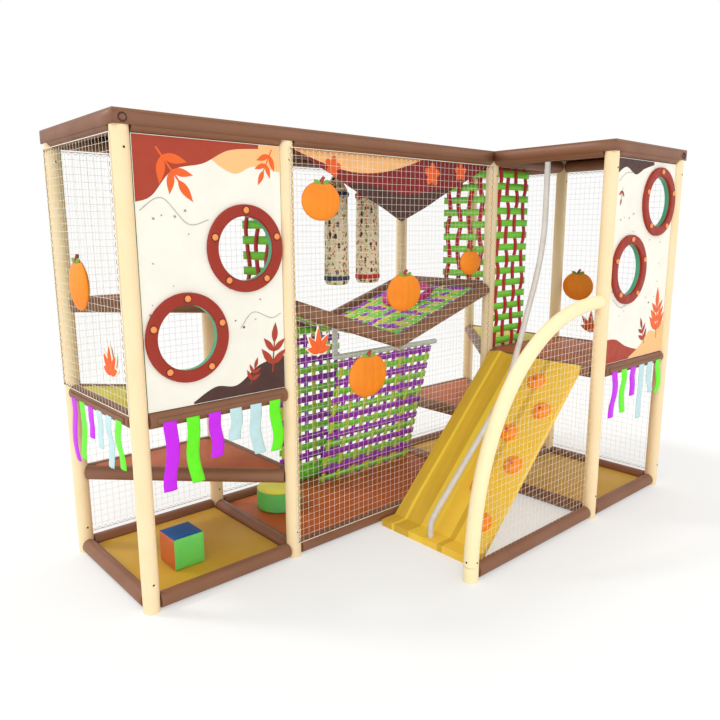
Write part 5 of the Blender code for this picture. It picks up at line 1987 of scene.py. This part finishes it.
@dataclass
class Toys:
    """The loose cube and the loose drum."""

    def cube(self) -> None:
        """Build the soft cube with a face of each colour and its rounded edges."""
        low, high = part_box("loose_cube")
        centre = (low + high) / 2
        half = (high - low) / 2
        piece = Piece("soft_cube", BLUE_VINYL, GREEN_VINYL, ORANGE_SIDE_VINYL)
        made = bmesh.ops.create_cube(piece.builder, size=2.0)
        edges = list({edge for vert in made["verts"] for edge in vert.link_edges})
        bmesh.ops.subdivide_edges(piece.builder, edges=edges, cuts=15, use_grid_fill=True)
        for face in piece.builder.faces:
            normal = face.normal
            face.material_index = 0 if normal.z > 0.5 else 2 if normal.x < -0.5 or normal.y > 0.5 else 1
        for vert in piece.builder.verts:
            x, y, z = vert.co
            near = sorted((abs(x), abs(y), abs(z)))
            round_off = 0.035 * max(0.0, near[1] - 0.75) / 0.25 * near[2]
            crown = 0.018 * (1 - near[1] ** 2) * (1 - near[0] ** 2)
            vert.co = vert.co * (1 - round_off - 0.018 + crown)
        bmesh.ops.transform(piece.builder, matrix=Matrix.Translation(centre) @ Matrix.Diagonal((*half, 1.0)),
            verts=piece.builder.verts)
        piece.close("cube_blue", "loose_cube", body="cube", angle=60)

    def drum(self) -> None:
        """Build the padded drum with the piping round its top edge."""
        low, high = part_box("loose_drum")
        centre = Vector(((low.x + high.x) / 2, (low.y + high.y) / 2, 0))
        radius = (high.x - low.x) / 2
        piece = Piece("soft_drum", GREEN_VINYL, YELLOW_TOP_VINYL)
        base, top = low.z, high.z
        side = [(0, base), (radius - 0.014, base), (radius - 0.003, base + 0.008),
                (radius - 0.001, base + 0.05), (radius - 0.001, top - 0.04), (radius - 0.005, top - 0.012)]
        piece.lathe(side, Matrix.Translation(centre), 48, 0)
        lid = [(radius - 0.005, top - 0.012), (radius - 0.012, top - 0.004), (radius - 0.03, top - 0.001),
               (0, top)]
        piece.lathe(lid, Matrix.Translation(centre), 48, 1)
        piece.hoop(Matrix.Translation(centre + UP * (top - 0.011)), radius - 0.005, 0.003, 48, 8, 1)
        piece.close("drum_green", "loose_drum", body="drum")

    def build(self) -> None:
        """Build both."""
        self.cube()
        self.drum()


@dataclass
class Nets:
    """Knotted safety nets with roped edges, laced to the beams."""

    mesh: float = 0.040
    cord: float = 0.0008
    rope: float = 0.0022
    drift: float = 0.003
    lacing: float = 0.016
    seed: int = 5

    def net(self, node: str, corner: Vector, right: Vector, up: Vector,
            inside: Callable[[float, float], bool] | None = None) -> None:
        """Tie one flat net between four corners.

        Args:
            node: The CAD node that it stands for.
            corner: Its lower left corner.
            right: From that corner to the lower right one.
            up: From that corner to the upper left one.
            inside: Says which shares across and up belong to the net.
        """
        piece = Piece("rope_" + node, NET_ROPE, LACE_ROPE)
        across = round(right.length / self.mesh)
        high = round(up.length / self.mesh)
        for index in range(1, across):
            self.strand(piece, corner + right * index / across, up, high, inside and (
                lambda share, u=index / across: inside(u, share)))
        for index in range(1, high):
            self.strand(piece, corner + up * index / high, right, across, inside and (
                lambda share, v=index / high: inside(share, v)))
        out = right.cross(up).normalized()
        for vert in piece.builder.verts:
            offset = vert.co - corner
            u = offset.dot(right) / right.length_squared
            v = offset.dot(up) / up.length_squared
            calm = min(1.0, 12 * min(u, 1 - u, v, 1 - v))
            push = noise.noise_vector(vert.co * 3.1)
            vert.co += (push - out * push.dot(out) * 0.5) * self.drift * max(0.0, calm)
        if inside is None:
            ends = [corner, corner + right, corner + right + up, corner + up]
            for start, end in zip(ends, ends[1:] + ends[:1]):
                piece.tube(between(start, end, 4), self.rope, 6)
                self.lace(piece, start, end, out.cross(end - start).normalized())
        piece.close("net_cord", node)

    def lace(self, piece: Piece, start: Vector, end: Vector, inward: Vector) -> None:
        """Run the dark lacing to and fro over one edge rope.

        Args:
            piece: The mesh to add to.
            start: One end of the edge.
            end: The other end.
            inward: The way into the net.
        """
        turns = 2 * round((end - start).length / self.mesh)
        inner = inward * self.lacing
        path = [start.lerp(end, index / turns) + inner * (index % 2) for index in range(turns + 1)]
        piece.tube(path, self.cord * 1.4, 4, 1)

    def strand(self, piece: Piece, start: Vector, run: Vector, count: int,
               inside: Callable[[float], bool] | None) -> None:
        """Draw one strand.

        Args:
            piece: The mesh to add to.
            start: Its first end.
            run: From that end to the other.
            count: Meshes along it.
            inside: Says which shares of it belong to the net.
        """
        shares = [index / count for index in range(count + 1)]
        shares = [share for share in shares if inside is None or inside(share)]
        if len(shares) > 1:
            piece.tube([start + run * share for share in shares], self.cord, 4)

    def build(self) -> None:
        """Tie the five nets, each strand a little out of line in the same way at each run."""
        noise.seed_set(self.seed)
        for node, axis in (("net_back", 1), ("net_left", 0), ("net_right", 0), ("net_middle", 1)):
            low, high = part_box(node)
            middle = (low[axis] + high[axis]) / 2
            corner = Vector(low)
            corner[axis] = middle
            right = Vector((high.x - low.x, 0, 0)) if axis == 1 else Vector((0, high.y - low.y, 0))
            self.net(node, corner, right, UP * (high.z - low.z))
        low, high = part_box("net_arch")
        width, tall = high.x - low.x, high.z - low.z
        power = ArchBay.fullness

        def inside(u: float, v: float) -> bool:
            """Say whether a place lies under the arch."""
            return (1 - u) ** power + v ** power < 0.99

        self.net("net_arch", Vector((low.x, (low.y + high.y) / 2, low.z)), RIGHT * width, UP * tall, inside)


@dataclass
class Decor:
    """Soft foam figures and leaf plaques tied to the nets."""

    depth: float = 0.030
    tie: float = 0.004
    lobes: tuple[tuple[int, float], ...] = ((-74, 0.62), (-38, 0.86), (0, 1.0), (38, 0.86), (74, 0.62))

    def gourd(self, name: str, seat: Matrix, width: float, height: float) -> None:
        """Tie one ribbed foam pumpkin with its stem and two leaves to a net.

        Args:
            name: The object's name.
            seat: Where it touches the net, with z away from the net.
            width: Half its width.
            height: Half its height.
        """
        piece = Piece(name, PUMPKIN_FOAM, STEM_PLASTIC, LEAF_GREEN_FOAM)
        verts = piece.dome(Vector(), Vector((width, height, self.depth)), 48, 0)
        for vert in verts:
            across = vert.co.x / width
            groove = 1 - 0.16 * abs(math.sin(2.5 * math.pi * across)) ** 8
            top = 1 - 0.10 * math.exp(-(across / 0.25) ** 2) * (vert.co.y > 0)
            vert.co = Vector((vert.co.x, vert.co.y * top, vert.co.z * groove))
        crown = height - 0.1 * width
        piece.tube([Vector((0, crown, 0)), Vector((0.006, crown + 0.020, 0.004)),
                    Vector((0.018, crown + 0.034, 0.004))], 0.011, 10, 1, (1.4, 0.9, 0.8))
        for hand in (-1, 1):
            leaf = piece.dome(Vector(), Vector((0.030, 0.013, 0.006)), 16, 2)
            place = Matrix.Translation(Vector((0.028 * hand, crown + 0.004, 0.008)))
            bmesh.ops.transform(piece.builder, verts=leaf,
                matrix=place @ Matrix.Rotation(math.radians(24 * hand), 4, "Z"))
        self.tie_on(piece, seat)

    def plaque(self, name: str, seat: Matrix, width: float, height: float) -> None:
        """Tie one fan of pointed foam lobes, edged in white, to a net.

        Args:
            name: The object's name.
            seat: Where it touches the net, with z away from the net.
            width: Half its width.
            height: Half its height.
        """
        piece = Piece(name, WHITE_FOAM, LEAF_FOIL)
        for slot, grow, thick in ((0, 1.2, 0.009), (1, 1.0, 0.015)):
            for turn, share in self.lobes:
                half = 0.75 * height * share
                leaf = piece.dome(Vector((0, half * 0.8, 0)),
                    Vector((0.30 * width * grow, half * grow, thick)), 16, slot)
                for vert in leaf:
                    vert.co.x *= 1 - 0.85 * max(0.0, vert.co.y / (2 * half)) ** 2
                place = Matrix.Translation(Vector((0, -0.45 * height, 0)))
                bmesh.ops.transform(piece.builder, verts=leaf,
                    matrix=place @ Matrix.Rotation(math.radians(turn), 4, "Z"))
        self.tie_on(piece, seat)

    def tie_on(self, piece: Piece, seat: Matrix) -> None:
        """Set a figure made flat on the ground against its net and close it."""
        bmesh.ops.transform(piece.builder, matrix=seat, verts=piece.builder.verts)
        piece.close("net_cord")

    def build(self) -> None:
        """Tie every figure and plaque on."""
        for node, axis, facing, kind, spots in FIGURES:
            low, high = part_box(node)
            turn = Matrix((UP.cross(facing), UP, facing)).transposed().to_4x4()
            for index, (across, level, width, tall) in enumerate(spots):
                centre = Vector((across, across, level))
                centre[axis] = low[axis] if facing[axis] < 0 else high[axis]
                draw = self.gourd if kind == "gourd" else self.plaque
                draw(f"foam_{kind}_{node}_{index}", Matrix.Translation(centre + facing * self.tie) @ turn,
                     width, width * tall)


@dataclass
class Studio:
    """Floor, light and camera."""

    eye: Vector
    lens: float = 33.57
    pitch: float = 78.90
    yaw: float = -41.75
    roll: float = -0.19

    def floor(self) -> None:
        """Lay the pale floor, which keeps the object's shadow."""
        builder = bmesh.new()
        bmesh.ops.create_grid(builder, x_segments=1, y_segments=1, size=40.0)
        mesh = bpy.data.meshes.new("studio_floor")
        builder.to_mesh(mesh)
        builder.free()
        item = bpy.data.objects.new("studio_floor", mesh)
        bpy.context.scene.collection.objects.link(item)
        material = bpy.data.materials.new("painted_floor")
        material.use_nodes = True
        tree = material.node_tree
        tree.nodes.clear()
        place = add(tree, "TexCoord").outputs["Object"]
        far = add(tree, "VectorMath", {0: place}, operation="LENGTH")
        share = add(tree, "MapRange",
            {"Value": far.outputs["Value"], "From Min": 3.0, "From Max": 7.0, "To Min": 0.42, "To Max": 1.0})
        seen = self.seen(tree)
        mix = add(tree, "Math", {0: share.outputs[0], 1: seen}, operation="MULTIPLY")
        matt = add(tree, "BsdfDiffuse", {"Color": (0.93, 0.93, 0.92, 1.0)})
        white = add(tree, "Emission", {"Color": (1.0, 1.0, 1.0, 1.0), "Strength": 1.0})
        both = add(tree, "MixShader", {0: mix.outputs[0], 1: matt.outputs[0], 2: white.outputs[0]})
        add(tree, "OutputMaterial", {"Surface": both.outputs[0]})
        mesh.materials.append(material)

    def seen(self, tree: NodeTree) -> NodeSocket:
        """Tell what the camera sees, straight or in a shine, from what only lights the scene.

        Args:
            tree: The node tree.

        Returns:
            A socket that is 1 for camera, glossy and transmission rays.
        """
        ray = add(tree, "LightPath")
        first = add(tree, "Math", {0: ray.outputs["Is Camera Ray"], 1: ray.outputs["Is Glossy Ray"]},
                    operation="MAXIMUM")
        return add(tree, "Math", {0: first.outputs[0], 1: ray.outputs["Is Transmission Ray"]},
                   operation="MAXIMUM").outputs[0]

    def light(self) -> None:
        """Set the even sky, a sun from behind on the left and a soft one in front."""
        world = bpy.data.worlds.new("studio")
        bpy.context.scene.world = world
        world.use_nodes = True
        tree = world.node_tree
        tree.nodes.clear()
        soft = add(tree, "Background", {"Color": (1.0, 0.995, 0.98, 1.0), "Strength": 0.955})
        white = add(tree, "Background", {"Color": (1.0, 1.0, 1.0, 1.0), "Strength": 1.0})
        both = add(tree, "MixShader", {0: self.seen(tree), 1: soft.outputs[0], 2: white.outputs[0]})
        add(tree, "OutputWorld", {"Surface": both.outputs[0]})
        for name, towards, power, spread in (("sun_behind", (-0.45, 0.55, 1.0), 0.75, 9.0),
                ("sun_front", (-0.634602, -0.657146, 0.406737), 0.55, 50.0)):
            lamp = bpy.data.lights.new(name, "SUN")
            lamp.energy = power
            lamp.angle = math.radians(spread)
            item = bpy.data.objects.new(name, lamp)
            item.rotation_euler = UP.rotation_difference(Vector(towards)).to_euler()
            bpy.context.scene.collection.objects.link(item)

    def camera(self) -> None:
        """Set the camera at the photograph's viewing angle."""
        data = bpy.data.cameras.new("camera")
        data.sensor_width = 36.0
        data.lens = self.lens
        item = bpy.data.objects.new("camera", data)
        item.location = self.eye
        turn = Matrix.Identity(4)
        for angle, axis in ((self.yaw, "Z"), (self.pitch, "X"), (self.roll, "Z")):
            turn = turn @ Matrix.Rotation(math.radians(angle), 4, axis)
        item.rotation_euler = turn.to_euler()
        bpy.context.scene.collection.objects.link(item)
        bpy.context.scene.camera = item

    def build(self) -> None:
        """Set up the studio."""
        self.floor()
        self.light()
        self.camera()
        bpy.context.scene.view_settings.view_transform = "Standard"


def main() -> None:
    """Build every sub-assembly round the frame and note the sizes."""
    logging.basicConfig(level=logging.INFO, format="%(name)s %(message)s")
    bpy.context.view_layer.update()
    Studio(eye=Vector((-3.083, -3.046, 1.922))).build()
    sleeve = Sleeve()
    for group in (TubeFrame(sleeve), Decks(sleeve), Panels(), Portholes(), CrawlDeck(sleeve), WovenWall(),
                  Curtains(), Pennant(), Ribbons(), PunchBags(), ArchBay(), Toys(), Nets(), Decor()):
        group.build()
        log.info("%s is built", type(group).__name__)


if __name__ == "__main__":
    main()
